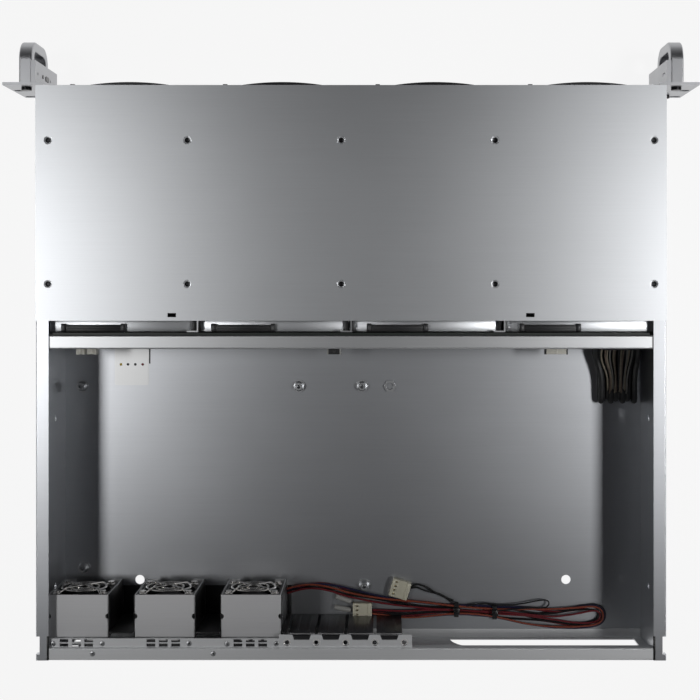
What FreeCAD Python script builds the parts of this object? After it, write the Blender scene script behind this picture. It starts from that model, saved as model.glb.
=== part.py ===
import FreeCAD, Part
import math
import os
import Sketcher
from FreeCAD import Placement, Rotation, Vector

# A short rackmount server case, one and a half units high, with its top cover off and no boards inside.
# +Z is up, the front with its drive trays and handles faces -Y, and the origin lies on the underside of
# the floor, midway between the side walls and between the front edge and the rear face.

doc = FreeCAD.newDocument("RackCase")
sheet = doc.addObject("Spreadsheet::Sheet", "Sizes")


class Size:
    """A number together with the sheet formula that gives it."""

    def __init__(self, text, value):
        self.text = text
        self.value = value

    def joined(self, sign, other, value):
        return Size("(%s %s %s)" % (self.text, sign, other.text), value)

    def __add__(self, other):
        other = sized(other)
        return self.joined("+", other, self.value + other.value)

    def __sub__(self, other):
        other = sized(other)
        return self.joined("-", other, self.value - other.value)

    def __mul__(self, other):
        other = sized(other)
        return self.joined("*", other, self.value * other.value)

    def __truediv__(self, other):
        other = sized(other)
        return self.joined("/", other, self.value / other.value)

    def __radd__(self, other):
        return sized(other) + self

    def __rsub__(self, other):
        return sized(other) - self

    def __rmul__(self, other):
        return sized(other) * self

    def __neg__(self):
        return Size("(0 - %s)" % self.text, -self.value)


def sized(number):
    return number if isinstance(number, Size) else Size(repr(float(number)), float(number))


beforeSizes = set(globals())

# The case, in millimetres
caseWidth = 436.8  # across the top flanges
caseDepth = 398.4  # front edge to rear face
caseHeight = 66.0  # floor underside to cover top
sheetThick = 1.2  # steel of the pan, panel and cover
sideInset = 5.2  # side wall set in from the flange edge
flangeReach = 2.5  # side flange past the inside of the wall
sideLip = 6.0  # height of the lip under the flange edge
screwLedge = 8.5  # wide flange under the drive bay cover
seatGap = 0.2  # between pieces that rest against each other
notchLength = 12.4  # hook notch for the missing top cover
notchDepth = 2.7  # hook notch, into the flange
notchBack = 4.2  # hook notch from the rear face
railHoleRadius = 2.2  # slide rail screws in the side walls
railHoleRise = 33.0  # slide rail screws above the floor
floorHoleRadius = 3.4  # through holes in the floor
floorHoleX = 157.0  # through holes from the middle
railHoleNear = 45.0  # rear slide rail screws from the rear face
railHoleFar = 165.0  # front slide rail screws from the rear face
foldRound = 1.0  # outside of a fold
floorHoleBack = 43.2  # through holes from the rear face

# The drive bay cover and its screws
coverDepth = 163.1  # front edge to rear edge
coverLip = 4.0  # front lip of the cover
screwRadius = 1.5  # cover screw shank
screwHeadRadius = 2.6  # countersunk head
screwHeadDrop = 1.1  # height of the countersink
screwLength = 5.0  # cover screw, head and shank
screwClear = 0.1  # radial, screw to hole
screwFront = 38.3  # front row of cover screws from the edge
screwRear = 137.6  # rear row of cover screws from the edge
sideScrewInset = 8.7  # side cover screws from the case edge
screwSlotWide = 0.6  # driver slot in a cover screw
screwSlotDeep = 0.5  # driver slot in a cover screw
keyHoleWidth = 5.9  # small rectangular hole in the cover
keyHoleDepth = 2.8  # small rectangular hole in the cover
keyHoleX = 124.0  # rectangular holes from the middle
keyHoleBack = 2.5  # rectangular holes from the cover's rear edge

# The drive cage
columnGap = 3.0  # between the trays of two drive columns
traySideGap = 0.7  # outer trays to the side walls
dividerThick = 1.0  # cage divider sheet
dividerFront = 6.0  # divider behind the front edge
dividerFlange = 11.0  # top and foot flange of a divider
dividerScrewX = 7.0  # cover screw beside a divider
dividerEar = 7.5  # rear flange that carries the backplane
dividerLength = 165.0  # divider, front to rear
ledgeWidth = 2.6  # tray ledge
rowGap = 2.4  # between the trays of the two rows
trayTopGap = 4.0  # upper trays below the flange
trayLength = 157.0  # drive tray, bezel to tail
trayBack = 4.8  # tray bezel face behind the case edge
trayWall = 0.9  # tray side
trayFloor = 1.2  # tray floor
traySideDrop = 6.0  # tray side below the bezel's top
trayTailDepth = 4.0  # stiffening bar at the tray's tail
trayTailTall = 3.0  # stiffening bar at the tray's tail
trayHoleSide = 12.0  # openings in the tray floor from its sides
trayHoleEnd = 10.0  # openings in the tray floor from bezel and tail
trayHoleFront = 52.0  # front opening in the tray floor
trayHoleRear = 62.0  # rear opening in the tray floor
windowFirst = 10.0  # first bezel window from the tray's side
windowWide = 15.0  # bezel window
windowStep = 19.0  # bezel windows
windowFrame = 5.0  # bezel above and below its windows
trayLampRadius = 1.2  # lamp window in the strip
trayLampDeep = 2.0  # lamp window in the strip
trayLampHigh = 6.0  # upper lamp below the tray's top
trayLampLow = 11.0  # lower lamp below the tray's top
bezelDepth = 7.0  # tray bezel
bezelRail = 2.2  # top and bottom rail of a bezel
stripWidth = 15.0  # lamp strip beside a lever
stripProud = 3.4  # lamp strip in front of the bezel face
leverRadius = 190.0  # curve of the lever's face
leverThick = 3.0  # lever
leverProud = 3.2  # lever past the case edge at its crown
leverGap = 0.4  # lever to rails and strip
gripWide = 3.0  # finger grip at the lever's free end
gripDeep = 5.0  # finger grip at the lever's free end
gripSet = 1.5  # finger grip behind the lever's crown
leverSlotWide = 3.0  # air slot in a lever
leverSlotStep = 6.0  # air slots in a lever
leverSlotFirst = 8.0  # first air slot from the hinge
leverSlotEdge = 2.5  # lever above and below its air slots
leverSlotBridge = 1.0  # half of the bridge between two air slots
hingeInset = 2.0  # barrel in from the side of its tray
hingeRadius = 3.0  # lever barrel
pinSink = 0.5  # hinge pin into the rails above and below
hingePin = 1.2  # lever pin
hingeClear = 0.05  # lever bore round its pin

# The crossbar and the backplane
barFront = 173.3  # crossbar from the case's front edge
barWidth = 9.4  # crossbar
barDrop = 12.0  # crossbar height
barThick = 1.0  # crossbar sheet
boardThick = 1.6  # backplane board
boardInset = 5.0  # backplane end from the side wall
boardRise = 2.0  # backplane above the floor
windowOut = 40.0  # board window past its column's middle
windowIn = 12.0  # board window past its column's middle
boardWindowTall = 10.0  # board window
boardWindowGap = 3.0  # board window above its socket
socketEnd = 3.0  # solid end of a drive socket
socketSkin = 2.0  # wall of a drive socket's mouth
socketBase = 1.0  # back of a drive socket's mouth
headerRise = 34.0  # cable headers above the floor line
headerDepth = 14.5  # cable headers
headerWall = 0.8  # cable headers
headerBase = 3.0  # back of a cable header
header1In = 19.8  # first cable header from the side wall
header1Wide = 5.7  # first cable header
header1Tall = 9.0  # first cable header
header2In = 27.9  # second cable header from the side wall
header2Wide = 6.4  # second cable header
header2Tall = 9.0  # second cable header
header3Mid = 12.6  # third cable header from the middle
header3Wide = 10.0  # third cable header
header3Tall = 8.0  # third cable header
header4In = 66.7  # fourth cable header from the other side wall
header4Wide = 16.3  # fourth cable header
header4Tall = 6.0  # fourth cable header
socketWidth = 42.0  # drive socket
socketHeight = 7.0  # drive socket
socketDepth = 4.2  # drive socket
socketShift = 21.0  # drive socket from its column's middle
socketRise = 5.0  # drive socket above the tray bottom

# The rack ears and the handles
earReach = 22.9  # rack ear past the case side
earThick = 2.0  # rack ear
cheekThick = 3.1  # switch cheek in front of the ear
cheekProud = 17.3  # switch cheek past the case edge
tabLength = 34.0  # ear tab along the side wall
tabRise = 5.0  # ear tab above the floor and below the flange
slotLow = 6.0  # lower rack slot above the floor
slotPitch = 31.75  # rack slots
slotInner = 10.9  # inner end of a rack slot from the case side
slotLength = 10.8  # rack slot
slotRadius = 3.3  # rack slot
handleWide = 9.3  # handle bar across
handleInset = 4.2  # handle from the case side
handleProud = 33.0  # handle past the case edge
handleLow = 9.6  # handle above the floor line
handleTall = 48.4  # handle
handleThick = 7.0  # handle bar, radial
handleRound = 13.7  # outer corner of the handle
handleEdge = 1.2  # rounded edge of the handle bar
handleScrewHead = 3.6  # handle screw head
handleScrewDrop = 2.2  # handle screw head height
switchBack = 8.8  # switches in front of the case edge
powerRise = 31.0  # power button above the floor line
powerTall = 10.0  # power button
powerWide = 4.0  # power button
resetRise = 43.5  # reset button above the floor line
resetRadius = 1.3  # reset button
lampHigh = 58.5  # upper lamp above the floor line
lampLow = 21.0  # lower lamp above the floor line
lampRadius = 1.1  # lamp window
earScrewRadius = 2.1  # handle screw hole in the ear
plainSlotHalf = 1.0  # half of the bare slot in the plain cheek
plainSlotTall = 8.0  # bare slot in the plain cheek
handleTapRadius = 1.6  # handle screw thread
handleTapDeep = 9.0  # handle screw thread
handleScrewRadius = 1.5  # handle screw shank
handleScrewReach = 8.0  # handle screw into the handle
buttonProud = 0.4  # buttons past the cheek
lampSunk = 0.2  # lamp windows below the cheek
switchWell = 2.6  # depth of a switch well
switchTravel = 0.6  # button travel
switchClear = 0.2  # button to its well

# The rear panel
rearFlange = 8.6  # top flange of the rear panel
rearLip = 8.0  # lip of the rear flange
rearFoot = 6.0  # foot of the rear panel
cornerGap = 0.3  # rear flange to the side flange
ventWidth = 6.1  # air vent
ventTall = 10.0  # air vent
ventPitchX = 8.6  # air vents across
ventPitchZ = 16.6  # air vents up
ventLow = 11.4  # middle of the lowest vents above the floor
cardFirst = 44.6  # first card screw from the middle
cardPitch = 20.32  # card slots
ledgeDrop = 2.8  # card ledge below the rear flange
ledgeReach = 17.2  # card ledge from the rear face
ledgeMargin = 5.6  # card ledge past its end screws
fanLedgeReach = 14.6  # ledge behind the fans from the rear face
ledgeVentBack = 10.0  # rear row of vents in the ledge from the rear face
ledgeVentPitch = 3.0  # two rows of vents in the ledge
ledgeVentDeep = 2.2  # vent in the ledge
cutDepth = 3.6  # notch between two card tabs
cutWide = 13.0  # notch, at its mouth
cutNarrow = 10.6  # notch, at its bottom
cardScrewBack = 11.8  # card screws from the rear face
cardScrewRadius = 1.5  # card screw hole
cardHoleWidth = 13.0  # card opening in the rear wall
cardHoleLow = 9.0  # card opening above the floor line
cardHoleHigh = 56.0  # card opening top above the floor line
coverPlate = 0.9  # card cover sheet
coverPlateWidth = 18.4  # card cover
coverPlateFoot = 3.0  # card cover above the floor line
supplyLeft = 71.0  # power supply opening, inner end
supplyIn = 6.0  # power supply opening, outer end from the side wall
supplyLow = 6.0  # power supply opening above the floor line
supplyHigh = 37.0  # power supply opening top
supplyRound = 30.0  # round shoulder of the power supply opening
supplyChamfer = 8.0  # small shoulder of the power supply opening

# The fans
fanIn = 21.1  # first fan from the side wall
fanLast = 70.1  # last fan from the middle
fanSize = 40.0  # fan frame
fanDepth = 28.0  # fan frame
fanRise = 34.9  # fan axis above the floor line
fanBack = 13.6  # fan bracket from the rear face
fanBore = 18.8  # fan duct radius
fanHub = 10.5  # rotor hub radius
fanBladeGap = 0.8  # blade tip to the duct
fanBladeThick = 1.2  # blade
fanBladeTilt = 38.0  # blade pitch in degrees
fanBladeChord = 15.0  # blade across its pitch
fanRotorLength = 20.0  # rotor hub
fanStator = 4.0  # struts behind the rotor
strutThick = 2.0  # fan struts
strutSink = 0.6  # fan struts into the frame
rotorGap = 0.4  # rotor to the motor behind it
rotorCap = 3.0  # closed front of the rotor hub
fanSet = 1.0  # fan in from the bracket's edge
fanShaft = 1.5  # rotor shaft radius
fanShaftClear = 0.05  # rotor bore round its shaft
fanHoleStep = 16.0  # fan screws from the axis
fanHoleRadius = 1.8  # fan screw hole
bracketThick = 0.8  # fan bracket sheet
bracketDepth = 30.0  # fan bracket
bracketFoot = 8.0  # fan bracket foot
bracketTab = 3.0  # tab under the fan
bracketTabEnd = 5.0  # tab in from the bracket's ends
bracketNotchDeep = 6.0  # round notch, up and down the bracket's edge
bracketNotch = 2.0  # round notch in the bracket edges
guardWire = 0.7  # guard wire radius
guardLoop = 2.6  # guard loop round a screw
guardOuter = 17.5  # largest guard ring
guardStep = 5.4  # guard rings
guardProud = 2.2  # crown of the guard in front of the fan
fanScrewTall = 1.4  # fan screw head
fanScrewLong = 12.0  # fan screw
fanScrewHead = 2.4  # fan screw head

# Standoffs on the floor
standTall = 6.0  # standoff
standFoot = 4.6  # standoff foot radius
standFlange = 1.0  # standoff foot
standStep = 0.8  # standoff body in from its foot
nutTall = 2.0  # clinch nut
nutHole = 2.6  # clinch nut thread
nutX = -27.3  # clinch nut from the middle
standRowY = 13.4  # front row of standoffs
standFrontIn = 12.5  # outer front standoff from the side wall
standFrontX = 39.8  # second front standoff from the middle
standInnerX = -6.7  # third front standoff from the middle
standRearIn = 13.6  # outer rear standoff from the side wall
standRearY = 147.0  # outer rear standoff
standLastX = -8.2  # inner rear standoff from the middle
standLastY = 160.0  # inner rear standoff
standTop = 2.6  # standoff top radius
standHole = 1.5  # standoff thread

# The fan lead that lies on the floor
leadRadius = 1.8  # bundle of fan wires
leadRise = 3.6  # bundle axis above the floor's top
plugWide = 14.0  # plug housing
plugLong = 13.0  # plug housing
plugTall = 7.0  # plug housing
plugRib = 2.0  # locking rib on a plug
plugRibSet = 1.5  # locking rib from the plug's end
plugRibTall = 0.8  # locking rib on a plug
plugRibSink = 0.5  # locking rib into the plug
plugHole = 1.1  # contact hole in a plug
plugHoleDeep = 7.0  # contact hole in a plug
plugPitch = 3.0  # contact holes in a plug
plugRise = 0.3  # plug above the floor
tieSlack = 0.6  # tie round the leads
tieLock = 4.5  # tie lock
tieLockTall = 3.5  # tie lock
tieWide = 4.0  # cable tie
tieThick = 0.9  # cable tie
panelIn = 8.0  # outermost wire of the panel cable from the side wall
panelHigh = 36.0  # panel cable's upper run
panelLow = 16.0  # panel cable's lower run
panelFold = 19.0  # panel cable's fold
panelWireRadius = 1.2  # one wire of the panel cable


def drive(row, name, number):
    """Put one driving dimension in the sheet and return it with its formula."""
    alias = name[0].upper() + name[1:]
    sheet.set("A%d" % row, alias)
    sheet.set("B%d" % row, str(number))
    sheet.setAlias("B%d" % row, alias)
    return Size("Sizes." + alias, float(number))


driving = [name for name in globals() if name not in beforeSizes and isinstance(globals()[name], float)]
for row, name in enumerate(driving, 1):
    globals()[name] = drive(row, name, globals()[name])

fanCount = 3
fanBlades = 7
panelWires = 9

# Derived places
halfWidth = caseWidth / 2
wallOuter = halfWidth - sideInset
wallInner = wallOuter - sheetThick
flangeInner = wallInner - flangeReach
front = -caseDepth / 2
rear = caseDepth / 2
flangeTop = caseHeight - sheetThick
coverRear = front + coverDepth
floorTop = sheetThick
earFront = front - earThick
fanZ = fanRise
fanFirst = wallInner - fanIn
fanPitch = (fanFirst - fanLast) / (fanCount - 1)
supplyRight = wallInner - supplyIn
bracketRear = rear - fanBack
bracketFront = bracketRear - bracketDepth
trayFace = front + trayBack
trayBase = floorTop + dividerThick + seatGap
trayHeight = (flangeTop - trayTopGap - trayBase - rowGap) / 2
trayPitch = trayHeight + rowGap
trayWidth = (2 * (wallInner - traySideGap) - 3 * columnGap) / 4
columnPitch = trayWidth + columnGap
rearWall = rear - sheetThick
ledgeTop = flangeTop - ledgeDrop
boardFront = front + barFront - seatGap - boardThick
columnPlaces = [columnPitch * step for step in (1.5, 0.5, -0.5, -1.5)]

pieces = []


def bind(thing, place, size):
    thing.setExpression(place, sized(size).text)


def move(thing, x=None, y=None, z=None):
    for axis, size in (("x", x), ("y", y), ("z", z)):
        if size is not None:
            bind(thing, "Placement.Base." + axis, size)
    return thing


def keep(label, thing):
    """Name a finished sub-part."""
    thing.Label = label
    pieces.append(thing)
    return thing


def block(name, xs, ys, zs):
    """A box from its low and high sides."""
    made = doc.addObject("Part::Box", name)
    for place, (low, high) in (("Length", xs), ("Width", ys), ("Height", zs)):
        bind(made, place, sized(high) - low)
    return move(made, xs[0], ys[0], zs[0])


TURNS = {"x": Rotation(Vector(0, 1, 0), 90), "y": Rotation(Vector(1, 0, 0), -90), "z": Rotation()}


def rod(name, axis, place, radius, length):
    """A cylinder that starts at place and runs along +axis."""
    made = doc.addObject("Part::Cylinder", name)
    made.Placement = Placement(Vector(), TURNS[axis])
    bind(made, "Radius", radius)
    bind(made, "Height", length)
    return move(made, *place)


def cone(name, axis, place, radius, endRadius, length):
    made = doc.addObject("Part::Cone", name)
    made.Placement = Placement(Vector(), TURNS[axis])
    bind(made, "Radius1", radius)
    bind(made, "Radius2", endRadius)
    bind(made, "Height", length)
    return move(made, *place)


def ring(name, axis, place, radius, thick):
    made = doc.addObject("Part::Torus", name)
    made.Placement = Placement(Vector(), TURNS[axis])
    bind(made, "Radius1", radius)
    bind(made, "Radius2", thick)
    return move(made, *place)


def group(name, things):
    """Separate solids held as one object."""
    made = doc.addObject("Part::Compound", name)
    made.Links = things
    return made


def fuse(name, things):
    made = doc.addObject("Part::MultiFuse", name)
    made.Shapes = things
    return made


def cut(name, base, tools):
    made = doc.addObject("Part::Cut", name)
    made.Base = base
    made.Tool = tools[0] if len(tools) == 1 else group(name + "Tools", tools)
    return made


def copyAt(name, master, x=None, y=None, z=None):
    return move(group(name, [master]), x, y, z)


def mirrored(name, source):
    """The same piece on the other side of the case."""
    made = doc.addObject("Part::Mirroring", name)
    made.Source = source
    made.Normal = Vector(1, 0, 0)
    return made


def outline(body, name, plane, corners):
    """A closed sketch whose corners are dimensioned from the origin."""
    base = [item for item in body.Origin.OriginFeatures if item.Role == plane][0]
    sketch = body.newObject("Sketcher::SketchObject", name)
    sketch.AttachmentSupport = (base, [""])
    sketch.MapMode = "FlatFace"
    corners = [(sized(across), sized(up)) for across, up in corners]
    spots = [Vector(across.value, up.value, 0) for across, up in corners]
    count = len(spots)
    for number in range(count):
        sketch.addGeometry(Part.LineSegment(spots[number], spots[(number + 1) % count]), False)
    for number in range(count):
        sketch.addConstraint(Sketcher.Constraint("Coincident", number, 2, (number + 1) % count, 1))
    for number, (across, up) in enumerate(corners):
        for kind, size in (("DistanceX", across), ("DistanceY", up)):
            held = sketch.addConstraint(Sketcher.Constraint(kind, -1, 1, number, 1, size.value))
            sketch.setExpression("Constraints[%d]" % held, size.text)
    return sketch


def pad(name, plane, corners, start, length):
    """A body padded from start: up from XY, forwards (-Y) from XZ, towards +X from YZ."""
    body = doc.addObject("PartDesign::Body", name)
    sketch = outline(body, name + "Outline", plane + "_Plane", corners)
    solid = body.newObject("PartDesign::Pad", name + "Pad")
    solid.Profile = sketch
    bind(solid, "Length", length)
    axis = {"XY": "z", "XZ": "y", "YZ": "x"}[plane]
    bind(body, "Placement.Base." + axis, start)
    return body


def edgesAt(shape, axis, spots):
    """Names of the edges along axis that pass through the given places of the profile."""
    others = [number for number in range(3) if number != "xyz".index(axis)]
    found = []
    for number, edge in enumerate(shape.Edges):
        if len(edge.Vertexes) != 2:
            continue
        first, last = (vertex.Point for vertex in edge.Vertexes)
        level = all(abs(first[other] - last[other]) < 1e-4 for other in others)
        if level and any(all(abs(first[other] - spot[at]) < 1e-3 for at, other in enumerate(others))
                         for spot in spots):
            found.append("Edge%d" % (number + 1))
    return found


def rounded(body, name, axis, corners, radius):
    """Round the edges of a padded body that run along axis through the given corners."""
    doc.recompute()
    spots = [(sized(first).value, sized(second).value) for first, second in corners]
    fillet = body.newObject("PartDesign::Fillet", name)
    fillet.Base = (body.Tip if body.Tip != fillet else body.Group[-2], edgesAt(body.Shape.copy(), axis, spots))
    bind(fillet, "Radius", radius)
    body.Tip = fillet
    return body


def basePan():
    """Floor and side walls, folded from one sheet, with flanges and lips along the top."""
    half = [(wallOuter, 0), (wallOuter, flangeTop - sheetThick),
            (halfWidth - sheetThick, flangeTop - sheetThick), (halfWidth - sheetThick, flangeTop - sideLip),
            (halfWidth, flangeTop - sideLip), (halfWidth, flangeTop), (flangeInner, flangeTop),
            (flangeInner, flangeTop - sheetThick), (wallInner, flangeTop - sheetThick),
            (wallInner, floorTop)]
    corners = half + [(-sized(across), up) for across, up in reversed(half)]
    fold = pad("PanFold", "XZ", corners, rear, caseDepth)
    folds = [(side * across, up) for side in (1, -1) for across, up in ((halfWidth, flangeTop), (wallOuter, 0))]
    fold = rounded(fold, "PanRound", "y", folds, foldRound)
    parts = [fold]
    inner = flangeInner - screwLedge + flangeReach
    for side, name in ((1, "Right"), (-1, "Left")):
        spans = (inner, wallOuter) if side > 0 else (-wallOuter, -inner)
        parts.append(block("PanLedge" + name, spans, (front, coverRear),
                           (flangeTop - sheetThick, flangeTop)))
        spans = (wallInner - ledgeWidth, wallInner + dividerThick)
        spans = spans if side > 0 else (-spans[1], -spans[0])
        for row in (0, 1):
            top = trayBase + trayPitch * row - seatGap
            parts.append(block("PanRail%s%d" % (name, row), spans,
                               (front + dividerFront, front + dividerFront + dividerLength),
                               (top - dividerThick, top)))
    tools = []
    for side in (1, -1):
        name = "Right" if side > 0 else "Left"
        reach = halfWidth - notchDepth
        spans = (reach, halfWidth + 1) if side > 0 else (-halfWidth - 1, -reach)
        tools.append(block("PanNotch" + name, spans, (rear - notchBack - notchLength, rear - notchBack),
                           (flangeTop - sideLip - 1, flangeTop + 1)))
        tools.append(rod("PanFloorHole" + name, "z", (floorHoleX * side, rear - floorHoleBack, -1),
                         floorHoleRadius, sheetThick + 2))
        for number, back in enumerate((railHoleNear, railHoleFar)):
            tools.append(rod("PanRailHole%s%d" % (name, number), "x",
                             ((wallInner - 1) if side > 0 else (-wallOuter - 1), rear - back, railHoleRise),
                             railHoleRadius, sheetThick + 2))
        for number, along in enumerate((screwFront, screwRear)):
            tools.append(rod("PanScrewHole%s%d" % (name, number), "z",
                             ((halfWidth - sideScrewInset) * side, front + along, flangeTop - sheetThick - 1),
                             screwRadius + screwClear, sheetThick + 2))
    return keep("base_pan", cut("PanDone", fuse("PanWhole", parts), tools))


def rearPanel():
    """Rear wall with its top flange and foot, the vents, the ledge with the card notches and the supply opening."""
    wide = wallInner - seatGap
    lipFront = rear - rearFlange
    corners = [(rear, floorTop), (rear, flangeTop), (lipFront, flangeTop), (lipFront, flangeTop - rearLip),
               (lipFront + sheetThick, flangeTop - rearLip), (lipFront + sheetThick, flangeTop - sheetThick),
               (rearWall, flangeTop - sheetThick), (rearWall, floorTop + sheetThick),
               (rearWall - rearFoot, floorTop + sheetThick), (rearWall - rearFoot, floorTop)]
    fold = pad("RearFold", "YZ", corners, -wide, wide * 2)
    fold = rounded(fold, "RearRound", "x", [(rear, flangeTop), (lipFront, flangeTop)], foldRound)
    low = cardFirst - cardPitch * 4 - ledgeMargin
    high = cardFirst + ledgeMargin
    first = []
    edge = flangeInner - cornerGap
    for name, spans in (("Right", (edge, wide + 1)), ("Left", (-wide - 1, -edge))):
        first.append(block("RearCorner" + name, spans, (lipFront - 1, rear + 1),
                           (flangeTop - sheetThick - cornerGap, flangeTop + 1)))
    first.append(block("RearLipCut", (low, wide + 1), (lipFront - 1, lipFront + sheetThick),
                       (flangeTop - rearLip - 1, ledgeTop - sheetThick)))
    panel = cut("RearTrimmed", fold, first)
    ledge = block("RearLedge", (low, wide), (rear - ledgeReach, lipFront + sheetThick),
                  (ledgeTop - sheetThick, ledgeTop))
    tools = [block("RearLedgeBack", (high, wide + 1), (rear - ledgeReach - 1, rear - fanLedgeReach),
                   (ledgeTop - sheetThick * 2, ledgeTop + sheetThick))]
    for number in range(4):
        middle = cardFirst - cardPitch * (number + 0.5)
        mouth = rear - ledgeReach
        corners = [(middle - cutWide / 2, mouth - 1), (middle + cutWide / 2, mouth - 1),
                   (middle + cutWide / 2, mouth), (middle + cutNarrow / 2, mouth + cutDepth),
                   (middle - cutNarrow / 2, mouth + cutDepth), (middle - cutWide / 2, mouth)]
        tools.append(pad("RearNotch%d" % number, "XY", corners, ledgeTop - sheetThick * 2, sheetThick * 3))
        tools.append(block("RearCardHole%d" % number,
                           (middle - cardHoleWidth / 2, middle + cardHoleWidth / 2),
                           (rearWall - 1, rear + 1), (cardHoleLow, cardHoleHigh)))
    for number in range(5):
        tools.append(rod("RearCardScrew%d" % number, "z",
                         (cardFirst - cardPitch * number, rear - cardScrewBack, ledgeTop - sheetThick * 2),
                         cardScrewRadius, sheetThick * 3))
    for fan in range(fanCount):
        for column in (-1, 0, 1):
            for row in range(3):
                x = fanFirst - fanPitch * fan + ventPitchX * column
                z = ventLow + ventPitchZ * row
                tools.append(block("RearVent%d%d%d" % (fan, column + 1, row),
                                   (x - ventWidth / 2, x + ventWidth / 2), (rearWall - 1, rear + 1),
                                   (z - ventTall / 2, z + ventTall / 2)))
            for row in range(2):
                x = fanFirst - fanPitch * fan + ventPitchX * column
                y = rear - ledgeVentBack - ledgeVentPitch * row
                tools.append(block("LedgeVent%d%d%d" % (fan, column + 1, row),
                                   (x - ventWidth / 2, x + ventWidth / 2),
                                   (y - ledgeVentDeep / 2, y + ledgeVentDeep / 2),
                                   (ledgeTop - sheetThick * 2, ledgeTop + sheetThick)))
    corners = [(-supplyRight, supplyLow), (-supplyLeft, supplyLow), (-supplyLeft, supplyHigh),
               (-supplyRight, supplyHigh)]
    supply = pad("RearSupply", "XZ", corners, rear + 1, sheetThick + 2)
    supply = rounded(supply, "RearSupplyRound", "y", [(-supplyLeft, supplyHigh)], supplyRound)
    supply = rounded(supply, "RearSupplySmall", "y", [(-supplyRight, supplyHigh)], supplyChamfer)
    tools.append(supply)
    return keep("rear_panel", cut("RearDone", fuse("RearWhole", [panel, ledge]), tools))


def screwPlaces():
    """Where the cover screws sit, side rows first."""
    across = [halfWidth - sideScrewInset, columnPitch + dividerScrewX, sized(dividerScrewX),
              dividerScrewX - columnPitch, sideScrewInset - halfWidth]
    return [(x, front + along) for along in (screwFront, screwRear) for x in across]


def driveBayCover():
    plate = block("CoverPlateSheet", (-halfWidth, halfWidth), (front, coverRear), (flangeTop, caseHeight))
    inner = wallInner - screwLedge - seatGap
    lip = block("CoverLipSheet", (-inner, inner), (front, front + sheetThick),
                (caseHeight - coverLip, caseHeight - sheetThick / 2))
    tools = []
    for number, (x, y) in enumerate(screwPlaces()):
        hole = rod("CoverHole%d" % number, "z", (x, y, flangeTop - 1), screwRadius + screwClear,
                   sheetThick + 2)
        sink = cone("CoverSink%d" % number, "z", (x, y, caseHeight - screwHeadDrop),
                    screwRadius + screwClear, screwHeadRadius + screwClear, screwHeadDrop)
        tools.append(fuse("CoverBore%d" % number, [hole, sink]))
    for name, middle in (("Right", keyHoleX), ("Left", -keyHoleX)):
        back = coverRear - keyHoleBack
        tools.append(block("CoverKey" + name, (middle - keyHoleWidth / 2, middle + keyHoleWidth / 2),
                           (back - keyHoleDepth, back), (flangeTop - 1, caseHeight + 1)))
    return keep("drive_bay_cover", cut("CoverDone", fuse("CoverWhole", [plate, lip]), tools))


def coverScrews():
    shank = rod("ScrewShank", "z", (0, 0, -screwLength), screwRadius, screwLength)
    head = cone("ScrewHead", "z", (0, 0, -screwHeadDrop), screwRadius, screwHeadRadius, screwHeadDrop)
    slot = block("ScrewSlot", (-screwSlotWide / 2, screwSlotWide / 2), (-screwRadius, screwRadius),
                 (-screwSlotDeep, 1))
    screw = cut("ScrewWhole", fuse("ScrewBody", [shank, head]), [slot])
    made = [copyAt("CoverScrew%d" % number, screw, x, y, caseHeight)
            for number, (x, y) in enumerate(screwPlaces())]
    return keep("cover_screws", group("CoverScrews", made))


def crossbar():
    """Brushed channel across the case behind the drive cage."""
    near = front + barFront
    far = near + barWidth
    top = flangeTop - sheetThick - seatGap
    low = top - barDrop
    reach = wallInner - seatGap
    corners = [(near, low), (near + barThick, low), (near + barThick, top - barThick),
               (far - barThick, top - barThick), (far - barThick, low), (far, low), (far, top), (near, top)]
    channel = pad("BarFold", "YZ", corners, -reach, reach * 2)
    channel = rounded(channel, "BarRound", "x", [(near, top), (far, top)], barThick)
    inside = (near + barThick / 2, far - barThick / 2), (low, top - barThick / 2)
    ends = [block("BarEndRight", (reach - barThick, reach), *inside),
            block("BarEndLeft", (-reach, barThick - reach), *inside)]
    return keep("crossbar", fuse("BarDone", [channel] + ends))


def cageDividers():
    """Upright sheets between the drive columns, with flanges, tray ledges and backplane ears."""
    start = front + dividerFront
    end = start + dividerLength
    half = dividerThick / 2
    parts = [block("DividerWall", (-half, half), (start, end), (floorTop, flangeTop)),
             block("DividerTop", (-half, dividerFlange), (start, coverRear), (flangeTop - dividerThick, flangeTop)),
             block("DividerFoot", (-half, dividerFlange), (start, end), (floorTop, floorTop + dividerThick)),
             block("DividerToe", (-half - ledgeWidth, half), (start, end),
                   (floorTop, floorTop + dividerThick)),
             block("DividerEar", (-half, dividerEar), (end - dividerThick, end), (floorTop, flangeTop)),
             block("DividerLedge", (-half - ledgeWidth, half + ledgeWidth), (start, end - dividerThick),
                   (trayBase + trayPitch - seatGap - dividerThick, trayBase + trayPitch - seatGap))]
    tools = [rod("DividerHole%d" % number, "z",
                 (dividerScrewX, front + along, flangeTop - dividerThick - 1),
                 screwRadius + screwClear, dividerThick + 2)
             for number, along in enumerate((screwFront, screwRear))]
    master = cut("DividerWhole", fuse("DividerFold", parts), tools)
    for number, step in enumerate((1, 0, -1)):
        keep("cage_divider_%d" % (number + 1), copyAt("Divider%d" % number, master, columnPitch * step))


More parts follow.
